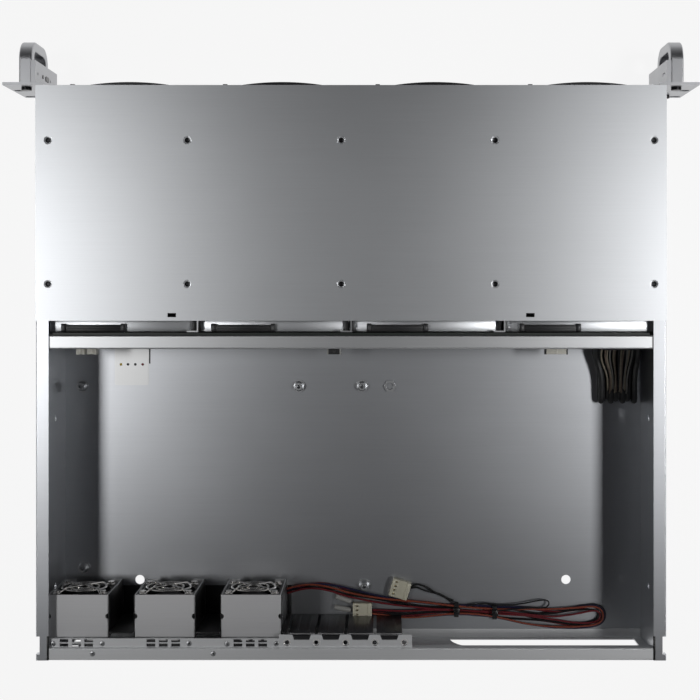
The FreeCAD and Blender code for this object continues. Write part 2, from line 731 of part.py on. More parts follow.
def backplane():
    """Board behind the trays with the drive sockets in front and the cable headers behind."""
    far = boardFront + boardThick
    reach = wallInner - boardInset
    plate = block("BoardPlate", (-reach, reach), (boardFront, far),
                  (floorTop + boardRise, flangeTop - sheetThick - seatGap))
    windows = []
    for number, middle in enumerate(columnPlaces):
        for row in (0, 1):
            low = trayBase + trayPitch * row + socketRise + socketHeight + boardWindowGap
            windows.append(block("BoardWindow%d%d" % (number, row), (middle - windowOut, middle + windowIn),
                                 (boardFront - 1, far + 1), (low, low + boardWindowTall)))
    keep("backplane_board", cut("BoardDone", plate, windows))
    body = block("SocketBody", (-socketWidth / 2, socketWidth / 2), (-socketDepth, 0), (0, socketHeight))
    mouth = block("SocketMouth", (socketEnd - socketWidth / 2, socketWidth / 2 - socketEnd),
                  (-socketDepth - 1, -socketBase), (socketSkin, socketHeight - socketSkin))
    socket = cut("SocketWhole", body, [mouth])
    sockets = []
    for number, middle in enumerate(columnPlaces):
        for row in (0, 1):
            sockets.append(copyAt("Socket%d%d" % (number, row), socket, middle + socketShift, boardFront,
                                  trayBase + trayPitch * row + socketRise))
    keep("drive_sockets", group("Sockets", sockets))
    headers = []
    places = [(wallInner - header1In, header1Wide, header1Tall), (wallInner - header2In, header2Wide, header2Tall),
              (header3Mid, header3Wide, header3Tall), (header4In - wallInner, header4Wide, header4Tall)]
    for number, (middle, wide, tall) in enumerate(places):
        shell = block("HeaderShell%d" % number, (middle - wide / 2, middle + wide / 2),
                      (far, far + headerDepth), (headerRise, headerRise + tall))
        well = block("HeaderWell%d" % number,
                     (middle - wide / 2 + headerWall, middle + wide / 2 - headerWall),
                     (far + headerBase, far + headerDepth + 1),
                     (headerRise + headerWall, headerRise + tall - headerWall))
        headers.append(cut("Header%d" % number, shell, [well]))
    keep("backplane_headers", group("Headers", headers))


def leverPlaces():
    """Hinge centre and middle of the lever's arc, beside the middle of a tray."""
    hingeX = -trayWidth / 2 + hingeRadius + leverGap + hingeInset
    crown = front - leverProud
    arcX = (trayWidth / 2 - stripWidth - leverGap + hingeX) / 2
    arcY = crown + leverRadius
    reach = arcX - hingeX
    hingeY = arcY.value - math.sqrt(leverRadius.value ** 2 - reach.value ** 2) + hingeRadius.value
    return hingeX, hingeY, arcX, arcY


def driveTrays():
    """Moulded tray: bezel with rails and lamp strip, two sides and an open floor."""
    half = trayWidth / 2
    tail = trayFace + trayLength
    back = trayFace + bezelDepth
    hingeX, hingeY, arcX, arcY = leverPlaces()
    strip = half - stripWidth
    parts = [block("TrayBezel", (-half, half), (trayFace, back), (0, trayHeight)),
             block("TrayRailLow", (-half, half), (trayFace - stripProud, trayFace + 1), (0, bezelRail)),
             block("TrayRailHigh", (-half, half), (trayFace - stripProud, trayFace + 1),
                   (trayHeight - bezelRail, trayHeight)),
             block("TrayStrip", (strip, half), (trayFace - stripProud, back), (0, trayHeight)),
             block("TrayFloorSheet", (-half, half), (back - 1, tail), (0, trayFloor)),
             block("TraySideRight", (half - trayWall, half), (back - 1, tail), (0, trayHeight - traySideDrop)),
             block("TraySideLeft", (-half, trayWall - half), (back - 1, tail), (0, trayHeight - traySideDrop)),
             block("TrayTail", (-half, half), (tail - trayTailDepth, tail), (0, trayTailTall))]
    sides = (trayHoleSide - half, half - trayHoleSide)
    rearEnd = tail - trayTailDepth - trayHoleEnd
    tools = [block("TrayFloorFront", sides, (back + trayHoleEnd, back + trayHoleEnd + trayHoleFront),
                   (-1, trayFloor + 1)),
             block("TrayFloorRear", sides, (rearEnd - trayHoleRear, rearEnd), (-1, trayFloor + 1)),
             rod("TrayHingeWell", "z", (hingeX, hingeY, bezelRail), hingeRadius + leverGap,
                 trayHeight - bezelRail * 2),
             rod("TrayLampHigh", "y", (half - stripWidth / 2, trayFace - stripProud - 1,
                                       trayHeight - trayLampHigh), trayLampRadius, trayLampDeep + 1),
             rod("TrayLampLow", "y", (half - stripWidth / 2, trayFace - stripProud - 1,
                                      trayHeight - trayLampLow), trayLampRadius, trayLampDeep + 1)]
    for number in range(4):
        low = -half + windowFirst + windowStep * number
        tools.append(block("TrayWindow%d" % number, (low, low + windowWide), (trayFace - 1, back + 1),
                           (windowFrame, trayHeight - windowFrame)))
    pin = rod("TrayPin", "z", (hingeX, hingeY, bezelRail - pinSink), hingePin,
              trayHeight - bezelRail * 2 + pinSink * 2)
    tray = fuse("TrayWhole", [cut("TrayOpen", fuse("TrayBody", parts), tools), pin])
    number = 0
    for row in (1, 0):
        for middle in columnPlaces:
            number += 1
            keep("drive_tray_%d" % number, copyAt("Tray%d" % number, tray, middle, None,
                                                  trayBase + trayPitch * row))


def leverShape():
    """Curved lever face between two arcs, closed by its barrel, with air slots."""
    hingeX, hingeY, arcX, arcY = (sized(size).value for size in leverPlaces())
    outer = leverRadius.value
    inner = outer - leverThick.value
    far = trayWidth.value / 2 - stripWidth.value - leverGap.value
    low = bezelRail.value + leverGap.value
    tall = trayHeight.value - low * 2

    def onArc(radius, x):
        return Vector(x, arcY - math.sqrt(radius ** 2 - (x - arcX) ** 2), low)

    corners = [onArc(outer, hingeX), onArc(outer, arcX), onArc(outer, far), onArc(inner, far),
               onArc(inner, arcX), onArc(inner, hingeX)]
    edges = [Part.Arc(*corners[:3]).toShape(), Part.LineSegment(corners[2], corners[3]).toShape(),
             Part.Arc(*corners[3:]).toShape(), Part.LineSegment(corners[5], corners[0]).toShape()]
    plate = Part.Face(Part.Wire(edges)).extrude(Vector(0, 0, tall))
    barrel = Part.makeCylinder(hingeRadius.value, tall, Vector(hingeX, hingeY, low))
    grip = Part.makeBox(gripWide.value, gripDeep.value, tall,
                        Vector(far - gripWide.value, arcY - outer + gripSet.value, low))
    shape = plate.fuse([barrel, grip])
    bore = Part.makeCylinder(hingePin.value + hingeClear.value, tall + 2, Vector(hingeX, hingeY, low - 1))
    edge = leverSlotEdge.value
    bridge = leverSlotBridge.value
    first = hingeX + leverSlotFirst.value
    step = leverSlotStep.value
    count = int((far - gripWide.value - first) // step)
    slots = [Part.makeBox(leverSlotWide.value, outer, tall / 2 - edge - bridge,
                          Vector(first + step * number, arcY - outer - gripDeep.value, low + rise))
             for number in range(count) for rise in (edge, tall / 2 + bridge)]
    return shape.cut([bore] + slots)


def trayLevers():
    lever = doc.addObject("Part::Feature", "LeverWhole")
    lever.Shape = leverShape()
    number = 0
    for row in (1, 0):
        for middle in columnPlaces:
            number += 1
            keep("tray_lever_%d" % number, copyAt("Lever%d" % number, lever, middle, None,
                                                  trayBase + trayPitch * row))


def earBody(name):
    """Ear, switch cheek and wall tab of one bracket, on the +X side."""
    tabInner = wallOuter + seatGap
    corners = [(tabInner, front), (tabInner, earFront), (halfWidth, earFront),
               (halfWidth, front - cheekProud), (halfWidth + cheekThick, front - cheekProud),
               (halfWidth + cheekThick, earFront), (halfWidth + earReach, earFront),
               (halfWidth + earReach, front)]
    plate = pad(name + "Fold", "XY", corners, 0, caseHeight)
    tab = block(name + "Tab", (tabInner, tabInner + earThick), (earFront, front + tabLength),
                (tabRise, flangeTop - sideLip - tabRise))
    tools = []
    inner = halfWidth + slotInner
    outer = inner + slotLength
    for number in (0, 1):
        z = slotLow + slotPitch * number
        tools.append(fuse("%sSlot%d" % (name, number), [
            block("%sSlotMiddle%d" % (name, number), (inner + slotRadius, outer - slotRadius),
                  (earFront - 1, front + 1), (z - slotRadius, z + slotRadius)),
            rod("%sSlotInner%d" % (name, number), "y", (inner + slotRadius, earFront - 1, z), slotRadius,
                earThick + 2),
            rod("%sSlotOuter%d" % (name, number), "y", (outer - slotRadius, earFront - 1, z), slotRadius,
                earThick + 2)]))
        leg = handleLow + handleThick / 2 if number == 0 else handleLow + handleTall - handleThick / 2
        tools.append(rod("%sScrewHole%d" % (name, number), "y",
                         (halfWidth + handleInset + handleWide / 2, earFront - 1, leg), earScrewRadius,
                         earThick + 2))
    return fuse(name + "Whole", [plate, tab]), tools


def earBrackets():
    """Both rack ears: the switches sit in wells in the cheek of one, the other has a bare slot."""
    switchY = front - switchBack
    body, tools = earBody("EarSwitch")
    well = halfWidth + switchWell
    tools.append(fuse("PowerWell", [
        block("PowerWellMiddle", (halfWidth - 1, well), (switchY - powerWide / 2, switchY + powerWide / 2),
              (powerRise - powerTall / 2 + powerWide / 2, powerRise + powerTall / 2 - powerWide / 2)),
        rod("PowerWellLow", "x", (halfWidth - 1, switchY, powerRise - powerTall / 2 + powerWide / 2),
            powerWide / 2, switchWell + 1),
        rod("PowerWellHigh", "x", (halfWidth - 1, switchY, powerRise + powerTall / 2 - powerWide / 2),
            powerWide / 2, switchWell + 1)]))
    for name, rise, radius in (("Reset", resetRise, resetRadius + switchClear),
                               ("LampHigh", lampHigh, lampRadius), ("LampLow", lampLow, lampRadius)):
        tools.append(rod(name + "Well", "x", (halfWidth - 1, switchY, rise), radius, switchWell + 1))
    keep("ear_bracket_left", cut("EarSwitchDone", body, tools))
    body, tools = earBody("EarPlain")
    tools.append(block("PlainSlot", (halfWidth - 1, halfWidth + cheekThick + 1),
                       (switchY - plainSlotHalf, switchY + plainSlotHalf),
                       (lampHigh + 1 - plainSlotTall, lampHigh + 1)))
    keep("ear_bracket_right", mirrored("EarPlainMirror", cut("EarPlainDone", body, tools)))


def buttons():
    """Power and reset buttons with the lamp windows between them."""
    switchY = front - switchBack
    proud = halfWidth - buttonProud
    seat = halfWidth + switchWell - switchTravel - switchClear / 2
    wide = powerWide / 2 - switchClear
    low = powerRise - powerTall / 2 + powerWide / 2
    high = powerRise + powerTall / 2 - powerWide / 2
    keep("power_button", fuse("PowerButton", [
        block("PowerMiddle", (proud, seat), (switchY - wide, switchY + wide), (low, high)),
        rod("PowerLow", "x", (proud, switchY, low), wide, seat - proud),
        rod("PowerHigh", "x", (proud, switchY, high), wide, seat - proud)]))
    keep("reset_button", rod("ResetButton", "x", (proud, switchY, resetRise), resetRadius, seat - proud))
    lamps = [rod("Lamp%d" % number, "x", (halfWidth + lampSunk, switchY, rise), lampRadius,
                 switchWell - lampSunk)
             for number, rise in enumerate((lampLow, lampHigh))]
    keep("light_pipes", group("LightPipes", lamps))


def handles():
    """Flat-sided pull handles: a rounded loop standing on the ear."""
    low = handleLow
    high = handleLow + handleTall
    tip = front - handleProud
    start = halfWidth + handleInset
    corners = [(earFront, low), (tip, low), (tip, high), (earFront, high)]
    loop = pad("HandleLoop", "YZ", corners, start, handleWide)
    loop = rounded(loop, "HandleCorners", "x", [(tip, low), (tip, high)], handleRound)
    corners = [(earFront + 1, low + handleThick), (tip + handleThick, low + handleThick),
               (tip + handleThick, high - handleThick), (earFront + 1, high - handleThick)]
    gap = pad("HandleGap", "YZ", corners, start - 1, handleWide + 2)
    gap = rounded(gap, "HandleGapCorners", "x", [(tip + handleThick, low + handleThick),
                                                 (tip + handleThick, high - handleThick)],
                  handleRound - handleThick)
    holes = [rod("HandleTap%d" % number, "y", (start + handleWide / 2, earFront - handleTapDeep, z),
                 handleTapRadius, handleTapDeep + 1)
             for number, z in enumerate((low + handleThick / 2, high - handleThick / 2))]
    bar = cut("HandleBar", loop, [gap] + holes)
    doc.recompute()
    edges = [(number + 1, edge) for number, edge in enumerate(bar.Shape.Edges)
             if all(abs(vertex.Point.x - edge.Vertexes[0].Point.x) < 1e-4 for vertex in edge.Vertexes)
             and abs(edge.CenterOfMass.x - edge.Vertexes[0].Point.x) < 1e-4
             and edge.CenterOfMass.y < earFront.value - 0.01]
    smooth = doc.addObject("Part::Fillet", "HandleSmooth")
    smooth.Base = bar
    smooth.Edges = [(number, handleEdge.value, handleEdge.value) for number, edge in edges]
    keep("handle_left", smooth)
    keep("handle_right", mirrored("HandleMirror", smooth))
    screws = []
    for side in (1, -1):
        for number, z in enumerate((low + handleThick / 2, high - handleThick / 2)):
            x = (start + handleWide / 2) * side
            name = "HandleScrew%s%d" % ("Right" if side > 0 else "Left", number)
            head = rod(name + "Head", "y", (x, front, z), handleScrewHead, handleScrewDrop)
            shank = rod(name + "Shank", "y", (x, earFront - handleScrewReach, z), handleScrewRadius,
                        earThick + handleScrewReach + handleScrewDrop / 2)
            screws.append(fuse(name, [head, shank]))
    keep("handle_screws", group("HandleScrews", screws))


def fanBrackets():
    """Sheet-steel bridge over each fan, with feet on the floor and tabs that carry the fan."""
    inner = fanSize / 2 + seatGap
    outer = inner + bracketThick
    top = fanZ + fanSize / 2 + seatGap
    high = top + bracketThick
    corners = [(outer, floorTop), (outer, high), (-outer, high), (-outer, floorTop),
               (bracketFoot - outer, floorTop), (bracketFoot - outer, floorTop + bracketThick),
               (-inner, floorTop + bracketThick), (-inner, top), (inner, top),
               (inner, floorTop + bracketThick), (outer - bracketFoot, floorTop + bracketThick),
               (outer - bracketFoot, floorTop)]
    fold = pad("BracketFold", "XZ", corners, bracketRear, bracketDepth)
    fold = rounded(fold, "BracketRound", "y", [(outer, high), (-outer, high)], bracketThick)
    rest = fanZ - fanSize / 2 - seatGap
    along = (bracketFront + bracketTabEnd, bracketRear - bracketTabEnd)
    tabs = [block("BracketTabRight", (inner - bracketTab, outer), along, (rest - bracketThick, rest)),
            block("BracketTabLeft", (-outer, bracketTab - inner), along, (rest - bracketThick, rest))]
    middle = bracketFront + bracketDepth / 2
    tools = [rod("BracketNotch" + name, "z", (across, middle, top - bracketNotchDeep / 2), bracketNotch,
                 bracketNotchDeep) for name, across in (("Right", outer), ("Left", -outer))]
    master = cut("BracketWhole", fuse("BracketBody", [fold] + tabs), tools)
    for number in range(fanCount):
        keep("fan_bracket_%d" % (number + 1), copyAt("Bracket%d" % number, master,
                                                     fanFirst - fanPitch * number))


def fanScrewSpots():
    return [(fanHoleStep * across, fanHoleStep * up) for across in (-1, 1) for up in (-1, 1)]


def fanFrames():
    """Square fan frame with its duct, four screw holes, and a stator on struts at the back."""
    half = fanSize / 2
    start = bracketFront + fanSet
    end = start + fanDepth
    shell = block("FrameShell", (-half, half), (start, end), (-half, half))
    tools = [rod("FrameDuct", "y", (0, start - 1, 0), fanBore, fanDepth + 2)]
    for number, (x, z) in enumerate(fanScrewSpots()):
        tools.append(rod("FrameHole%d" % number, "y", (x, start - 1, z), fanHoleRadius, fanDepth + 2))
    struts = []
    for number in range(4):
        strut = block("FrameStrut%d" % number, (0, fanBore + strutSink), (end - strutThick, end),
                      (-strutThick / 2, strutThick / 2))
        spin = math.radians(45 + 90 * number)
        strut.Placement.Rotation = Rotation(Vector(0, 1, 0), 45 + 90 * number)
        move(strut, -strutThick / 2 * math.sin(spin), None, -strutThick / 2 * math.cos(spin))
        struts.append(strut)
    hub = rod("FrameHub", "y", (0, end - fanStator, 0), fanHub, fanStator)
    shaft = rod("FrameShaft", "y", (0, end - fanStator - fanRotorLength + rotorCap + 1, 0), fanShaft,
                fanRotorLength)
    master = fuse("FrameWhole", [cut("FrameOpen", shell, tools), hub, shaft] + struts)
    for number in range(fanCount):
        keep("fan_frame_%d" % (number + 1), copyAt("Frame%d" % number, master,
                                                   fanFirst - fanPitch * number, None, fanZ))


def rotorShape():
    """Hub with pitched blades, trimmed to the duct."""
    end = (bracketFront + fanSet + fanDepth - fanStator - rotorGap).value
    start = end - fanRotorLength.value
    tip = (fanBore - fanBladeGap).value
    hub = Part.makeCylinder(fanHub.value, fanRotorLength.value, Vector(0, start, 0), Vector(0, 1, 0))
    blades = []
    for number in range(fanBlades):
        blade = Part.makeBox(fanBladeThick.value, fanBladeChord.value, tip + 2,
                             Vector(-fanBladeThick.value / 2, -fanBladeChord.value / 2, fanHub.value - 2))
        blade.rotate(Vector(), Vector(0, 0, 1), fanBladeTilt.value)
        blade.rotate(Vector(), Vector(0, 1, 0), 360.0 * number / fanBlades)
        blade.translate(Vector(0, (start + end) / 2, 0))
        blades.append(blade)
    sweep = Part.makeCylinder(tip, fanRotorLength.value, Vector(0, start, 0), Vector(0, 1, 0))
    trimmed = [blade.common(sweep) for blade in blades]
    bore = Part.makeCylinder((fanShaft + fanShaftClear).value, (fanRotorLength - rotorCap).value,
                             Vector(0, start + rotorCap.value, 0), Vector(0, 1, 0))
    return hub.fuse(trimmed).cut(bore)


def fanRotors():
    master = doc.addObject("Part::Feature", "RotorWhole")
    master.Shape = rotorShape()
    for number in range(fanCount):
        keep("fan_rotor_%d" % (number + 1), copyAt("Rotor%d" % number, master,
                                                   fanFirst - fanPitch * number, None, fanZ))


def fanGuards():
    """Wire finger guard: rings on two cross wires, with a loop round each screw."""
    face = bracketFront + fanSet - guardWire - seatGap
    crown = face - guardProud
    parts = [ring("GuardRing%d" % step, "y", (0, crown, 0), guardOuter - guardStep * step, guardWire)
             for step in range(3)]
    for number, (x, z) in enumerate(fanScrewSpots()):
        parts.append(ring("GuardLoop%d" % number, "y", (x, face, z), guardLoop, guardWire))
    for number, (x, z) in enumerate(fanScrewSpots()):
        spoke = doc.addObject("Part::Feature", "GuardSpoke%d" % number)
        way = Vector(x.value, 0, z.value).normalize()
        level = crown.value + guardWire.value * 0.9
        near = way * (guardOuter.value - guardStep.value * 2 - guardWire.value / 2) + Vector(0, level, 0)
        bend = way * (guardOuter.value + guardWire.value / 2) + Vector(0, level, 0)
        far = way * (math.hypot(x.value, z.value) - guardLoop.value + 0.1) + Vector(0, face.value, 0)
        spoke.Shape = routed([near, bend, far], guardWire.value * 0.93)
        parts.append(spoke)
    master = fuse("GuardWhole", parts)
    for number in range(fanCount):
        keep("fan_guard_%d" % (number + 1), copyAt("Guard%d" % number, master,
                                                   fanFirst - fanPitch * number, None, fanZ))
    screws = []
    for fan in range(fanCount):
        for number, (x, z) in enumerate(fanScrewSpots()):
            name = "FanScrew%d%d" % (fan, number)
            x = fanFirst - fanPitch * fan + x
            seat = face - guardWire - seatGap / 2
            head = rod(name + "Head", "y", (x, seat - fanScrewTall, fanZ + z), fanScrewHead, fanScrewTall)
            shank = rod(name + "Shank", "y", (x, seat - fanScrewTall / 2, fanZ + z),
                        fanHoleRadius - seatGap, fanScrewLong)
            screws.append(fuse(name, [head, shank]))
    keep("fan_screws", group("FanScrews", screws))


def slotCovers():
    """Blank card covers: a plate against the rear wall and a lip under the ledge."""
    back = rearWall - seatGap / 2
    face = back - coverPlate
    top = ledgeTop - sheetThick - seatGap
    for number in range(4):
        middle = cardFirst - cardPitch * (number + 0.5)
        name = "Blank%d" % number
        half = coverPlateWidth / 2
        plate = block(name + "Plate", (middle - half, middle + half), (face, back),
                      (floorTop + coverPlateFoot, top))
        lip = block(name + "Lip", (middle - half, middle + half), (rear - ledgeReach + 1, back),
                    (top - coverPlate, top))
        keep("slot_cover_%d" % (number + 1), fuse(name, [plate, lip]))


standPlaces = [(wallInner - standFrontIn, standRowY), (standFrontX, standRowY), (standInnerX, standRowY),
               (wallInner - standRearIn, standRearY), (standLastX, standLastY)]


def standoffs():
    """Clinched standoffs for the missing mainboard and one low clinch nut."""
    made = []
    for number, (x, y) in enumerate(standPlaces):
        name = "Standoff%d" % number
        foot = rod(name + "Foot", "z", (x, y, floorTop), standFoot, standFlange)
        body = cone(name + "Body", "z", (x, y, floorTop + standFlange), standFoot - standStep, standTop,
                    standTall - standFlange)
        hole = rod(name + "Hole", "z", (x, y, floorTop + standFlange), standHole, standTall)
        made.append(cut(name, fuse(name + "Solid", [foot, body]), [hole]))
    nut = doc.addObject("Part::Prism", "ClinchNutHex")
    nut.Polygon = 6
    bind(nut, "Circumradius", standFoot)
    bind(nut, "Height", nutTall)
    move(nut, nutX, standRowY, floorTop)
    made.append(cut("ClinchNut", nut, [rod("ClinchNutHole", "z", (nutX, standRowY, floorTop - 1), nutHole,
                                           nutTall + 2)]))
    keep("board_standoffs", group("Standoffs", made))


def routed(points, radius):
    """Tube along straight runs joined by tangent arcs; each arc as large as its runs allow."""
    points = [Vector(*point) for point in points]
    edges = []
    radii = []
    last = points[0]
    for before, corner, after in zip(points, points[1:], points[2:]):
        arriving = (corner - before).normalize()
        leaving = (after - corner).normalize()
        turn = arriving.getAngle(leaving)
        reach = 0.45 * min((corner - before).Length, (after - corner).Length)
        bend = reach / math.tan(turn / 2)
        radii.append(round(bend, 1))
        start = corner - arriving * reach
        end = corner + leaving * reach
        inward = (leaving - arriving).normalize()
        centre = corner + inward * (bend / math.cos(turn / 2))
        edges.append(Part.LineSegment(last, start).toShape())
        edges.append(Part.Arc(start, centre - inward * bend, end).toShape())
        last = end
    edges.append(Part.LineSegment(last, points[-1]).toShape())
    path = Part.Wire(edges)
    way = (points[1] - points[0]).normalize()
    section = Part.Wire(Part.makeCircle(radius, points[0], way))
    tube = path.makePipeShell([section], True, False)
    print("cord: length %.1f mm, volume share %.4f, radii %s"
          % (path.Length, tube.Volume / (math.pi * radius ** 2 * path.Length), radii))
    return tube


LEAD_POINTS = [(48.6, 163.8), (40.0, 161.2), (28.0, 159.6), (14.0, 161.4), (1.0, 165.2), (-16.0, 169.2),
               (-36.0, 173.0), (-56.0, 174.4), (-76.0, 175.0), (-98.0, 176.2), (-122.0, 178.2),
               (-146.0, 179.4), (-164.0, 178.0), (-176.0, 175.2), (-184.5, 174.8), (-188.6, 181.0),
               (-184.6, 187.2), (-174.0, 189.0), (-156.0, 189.2), (-136.0, 186.6), (-114.0, 182.6),
               (-94.0, 179.9), (-76.0, 179.3), (-56.0, 180.2), (-38.0, 180.3), (-24.0, 179.0),
               (-14.2, 178.6)]
BRANCH_POINTS = [(-73.6, 171.0), (-63.4, 169.2), (-53.0, 167.2), (-41.45, 164.0)]


def leads():
    """Fan wires on the floor, doubled back to their plug, with a short branch to a second plug."""
    z = (floorTop + leadRise).value
    for label, points in (("fan_lead_main", LEAD_POINTS), ("fan_lead_branch", BRANCH_POINTS)):
        tube = doc.addObject("Part::Feature", label)
        tube.Shape = routed([(x, y, z) for x, y in points], leadRadius.value)
        keep(label, tube)


def plugs():
    """White four-way housings with ribs on their sides and two blades out of one."""
    body = block("PlugBody", (-plugWide / 2, plugWide / 2), (-plugLong / 2, plugLong / 2), (0, plugTall))
    ribEnd = plugWide / 2 - plugRibSet
    rib = block("PlugRib", (ribEnd - plugRib, ribEnd), (-plugLong / 2, plugLong / 2),
                (plugTall - plugRibSink, plugTall + plugRibTall))
    holes = [rod("PlugHole%d" % number, "x", (-plugWide / 2 - 1, plugPitch * (number - 1.5), plugTall / 2),
                 plugHole, plugHoleDeep + 1) for number in range(4)]
    master = cut("PlugWhole", fuse("PlugSolid", [body, rib]), holes)
    base = floorTop + plugRise
    for name, x, y, turn in (("lead_plug_main", -7.0, 178.6, 180.0), ("lead_plug_branch", -34.6, 161.9, 163.0)):
        made = group("Plug" + name[-4:].title(), [master])
        made.Placement = Placement(Vector(x, y, base.value), Rotation(Vector(0, 0, 1), turn))
        bind(made, "Placement.Base.z", base)
        keep(name, made)


def cableTies():
    """Black ties round the doubled lead, one with a long tail."""
    z = floorTop + leadRise
    bands = []
    for number, (x, low, high) in enumerate(((-76.0, 175.0, 179.3), (-104.0, 176.7, 181.0))):
        reach = leadRadius + tieSlack
        name = "Tie%d" % number
        outer = block(name + "Outer", (x - tieWide / 2, x + tieWide / 2),
                      (low - reach - tieThick, high + reach + tieThick), (z - reach - tieThick, z + reach + tieThick))
        inner = block(name + "Inner", (x - tieWide / 2 - 1, x + tieWide / 2 + 1), (low - reach, high + reach),
                      (z - reach, z + reach))
        lock = block(name + "Lock", (x - tieWide / 2, x + tieWide / 2), (low, low + tieLock),
                     (z + reach, z + reach + tieLockTall))
        bands.append(fuse(name, [cut(name + "Band", outer, [inner]), lock]))
    keep("cable_ties", group("CableTies", bands))


def panelCable():
    """Flat cable to the front switches: nine wires side by side, folded back under the crossbar."""
    near = (boardFront + boardThick + seatGap).value
    wire = panelWireRadius.value
    high = panelHigh.value
    low = panelLow.value
    fold = panelFold.value
    turn = (high - low) / 2
    wires = []
    for number in range(panelWires):
        x = panelIn.value - wallInner.value + 2 * wire * 0.98 * number
        points = [Vector(x, near, high), Vector(x, fold - turn, high), Vector(x, fold, high - turn),
                  Vector(x, fold - turn, low), Vector(x, near, low)]
        path = Part.Wire([Part.LineSegment(points[0], points[1]).toShape(),
                          Part.Arc(points[1], points[2], points[3]).toShape(),
                          Part.LineSegment(points[3], points[4]).toShape()])
        section = Part.Wire(Part.makeCircle(wire, points[0], Vector(0, 1, 0)))
        wires.append(path.makePipeShell([section], True, False))
    cable = doc.addObject("Part::Feature", "PanelCable")
    cable.Shape = wires[0].fuse(wires[1:])
    keep("panel_cable", cable)


def check():
    """Stop if any object failed, or if a sub-part's shape isn't a sound solid."""
    for thing in doc.Objects:
        if "Invalid" in thing.State or "Error" in thing.State:
            raise RuntimeError("failed object: %s %s" % (thing.Name, thing.State))
    for thing in pieces:
        shape = thing.Shape
        if shape.isNull() or not shape.isValid() or not shape.Solids:
            raise RuntimeError("unsound sub-part: %s" % thing.Label)


def write():
    os.makedirs("parts", exist_ok=True)
    for thing in pieces:
        thing.Shape.exportStep(os.path.join("parts", thing.Label + ".step"))
    print("%d sub-parts written" % len(pieces))


doc.recompute()
basePan()
rearPanel()
driveBayCover()
coverScrews()
crossbar()
cageDividers()
backplane()
driveTrays()
trayLevers()
earBrackets()
buttons()
handles()
fanBrackets()
fanFrames()
fanRotors()
fanGuards()
slotCovers()
standoffs()
leads()
plugs()
cableTies()
panelCable()
doc.recompute()
check()
write()
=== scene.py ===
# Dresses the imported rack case: metal and plastic finishes, wiring, screws, small fittings and a plain studio.
import math

import bmesh
import bpy
from mathutils import Matrix, Vector


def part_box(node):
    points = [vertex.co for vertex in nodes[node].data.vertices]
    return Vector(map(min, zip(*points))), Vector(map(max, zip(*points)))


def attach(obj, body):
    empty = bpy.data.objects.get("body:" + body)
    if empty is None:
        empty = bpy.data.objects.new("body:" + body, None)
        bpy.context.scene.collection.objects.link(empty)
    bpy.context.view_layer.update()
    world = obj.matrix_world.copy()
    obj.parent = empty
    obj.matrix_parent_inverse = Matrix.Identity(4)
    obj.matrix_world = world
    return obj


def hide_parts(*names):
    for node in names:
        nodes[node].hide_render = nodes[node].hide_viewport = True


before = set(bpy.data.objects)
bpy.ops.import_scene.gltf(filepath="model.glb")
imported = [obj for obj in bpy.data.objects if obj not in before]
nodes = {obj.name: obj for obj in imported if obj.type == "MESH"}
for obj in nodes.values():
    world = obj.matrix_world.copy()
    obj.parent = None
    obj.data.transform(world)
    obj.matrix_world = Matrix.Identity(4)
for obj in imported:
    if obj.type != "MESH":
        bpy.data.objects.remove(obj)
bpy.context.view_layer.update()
scene = bpy.context.scene

cameraSet = {
    "place": (-0.0214, -0.0567, 1.049),  # straight above, a little towards the drives
    "lens": 73.1,
    "shift": (-0.0457, -0.0843),
}


def setCamera():
    eye = bpy.data.objects.new("eye", bpy.data.cameras.new("eye"))
    eye.location = cameraSet["place"]
    eye.rotation_euler = (0, 0, math.pi)
    eye.data.lens = cameraSet["lens"]
    eye.data.shift_x, eye.data.shift_y = cameraSet["shift"]
    eye.data.clip_start, eye.data.clip_end = 0.01, 50
    scene.collection.objects.link(eye)
    scene.camera = eye


def addNode(tree, kind, settings=None, sockets=None):
    node = tree.nodes.new("ShaderNode" + kind)
    for key, value in (settings or {}).items():
        setattr(node, key, value)
    for key, value in (sockets or {}).items():
        if isinstance(value, bpy.types.NodeSocket):
            tree.links.new(value, node.inputs[key])
        else:
            node.inputs[key].default_value = value
    return node


def startFinish(name, look):
    finish = bpy.data.materials.new(name)
    finish.use_nodes = True
    shader = finish.node_tree.nodes["Principled BSDF"]
    shader.inputs["Base Color"].default_value = (*look["colour"], 1)
    shader.inputs["Metallic"].default_value = look.get("metallic", 0.0)
    shader.inputs["Roughness"].default_value = look["rough"]
    finish.diffuse_color = (*look["colour"], 1)
    return finish, finish.node_tree, shader


patternSpan = (0.25, 0.75)  # where most of a noise pattern's values lie


def around(tree, value, middle, swing):
    # turns a 0-1 pattern into middle plus or minus swing
    low, high = patternSpan
    spread = addNode(tree, "MapRange", {}, {"Value": value, "From Min": low, "From Max": high,
                                            "To Min": middle - swing, "To Max": middle + swing})
    return spread.outputs[0]


def tint(tree, value, colour, swing):
    # the colour made a little darker and lighter by a 0-1 pattern
    dark = [max(0, part * (1 - swing)) for part in colour]
    light = [min(1, part * (1 + swing)) for part in colour]
    ramp = addNode(tree, "ValToRGB", {}, {"Fac": value})
    for stop, place, tone in zip(ramp.color_ramp.elements, patternSpan, (dark, light)):
        stop.position = place
        stop.color = (*tone, 1)
    return ramp.outputs["Color"]


def noise(tree, place, scale, detail=2.0, roughness=0.5):
    return addNode(tree, "TexNoise", {}, {"Vector": place, "Scale": scale, "Detail": detail,
                                          "Roughness": roughness}).outputs["Fac"]


def multiply(tree, value, factor):
    return addNode(tree, "Math", {"operation": "MULTIPLY"}, {0: value, 1: factor}).outputs[0]


def multiplyAdd(tree, value, factor, extra):
    return addNode(tree, "Math", {"operation": "MULTIPLY_ADD"}, {0: value, 1: factor, 2: extra}).outputs[0]


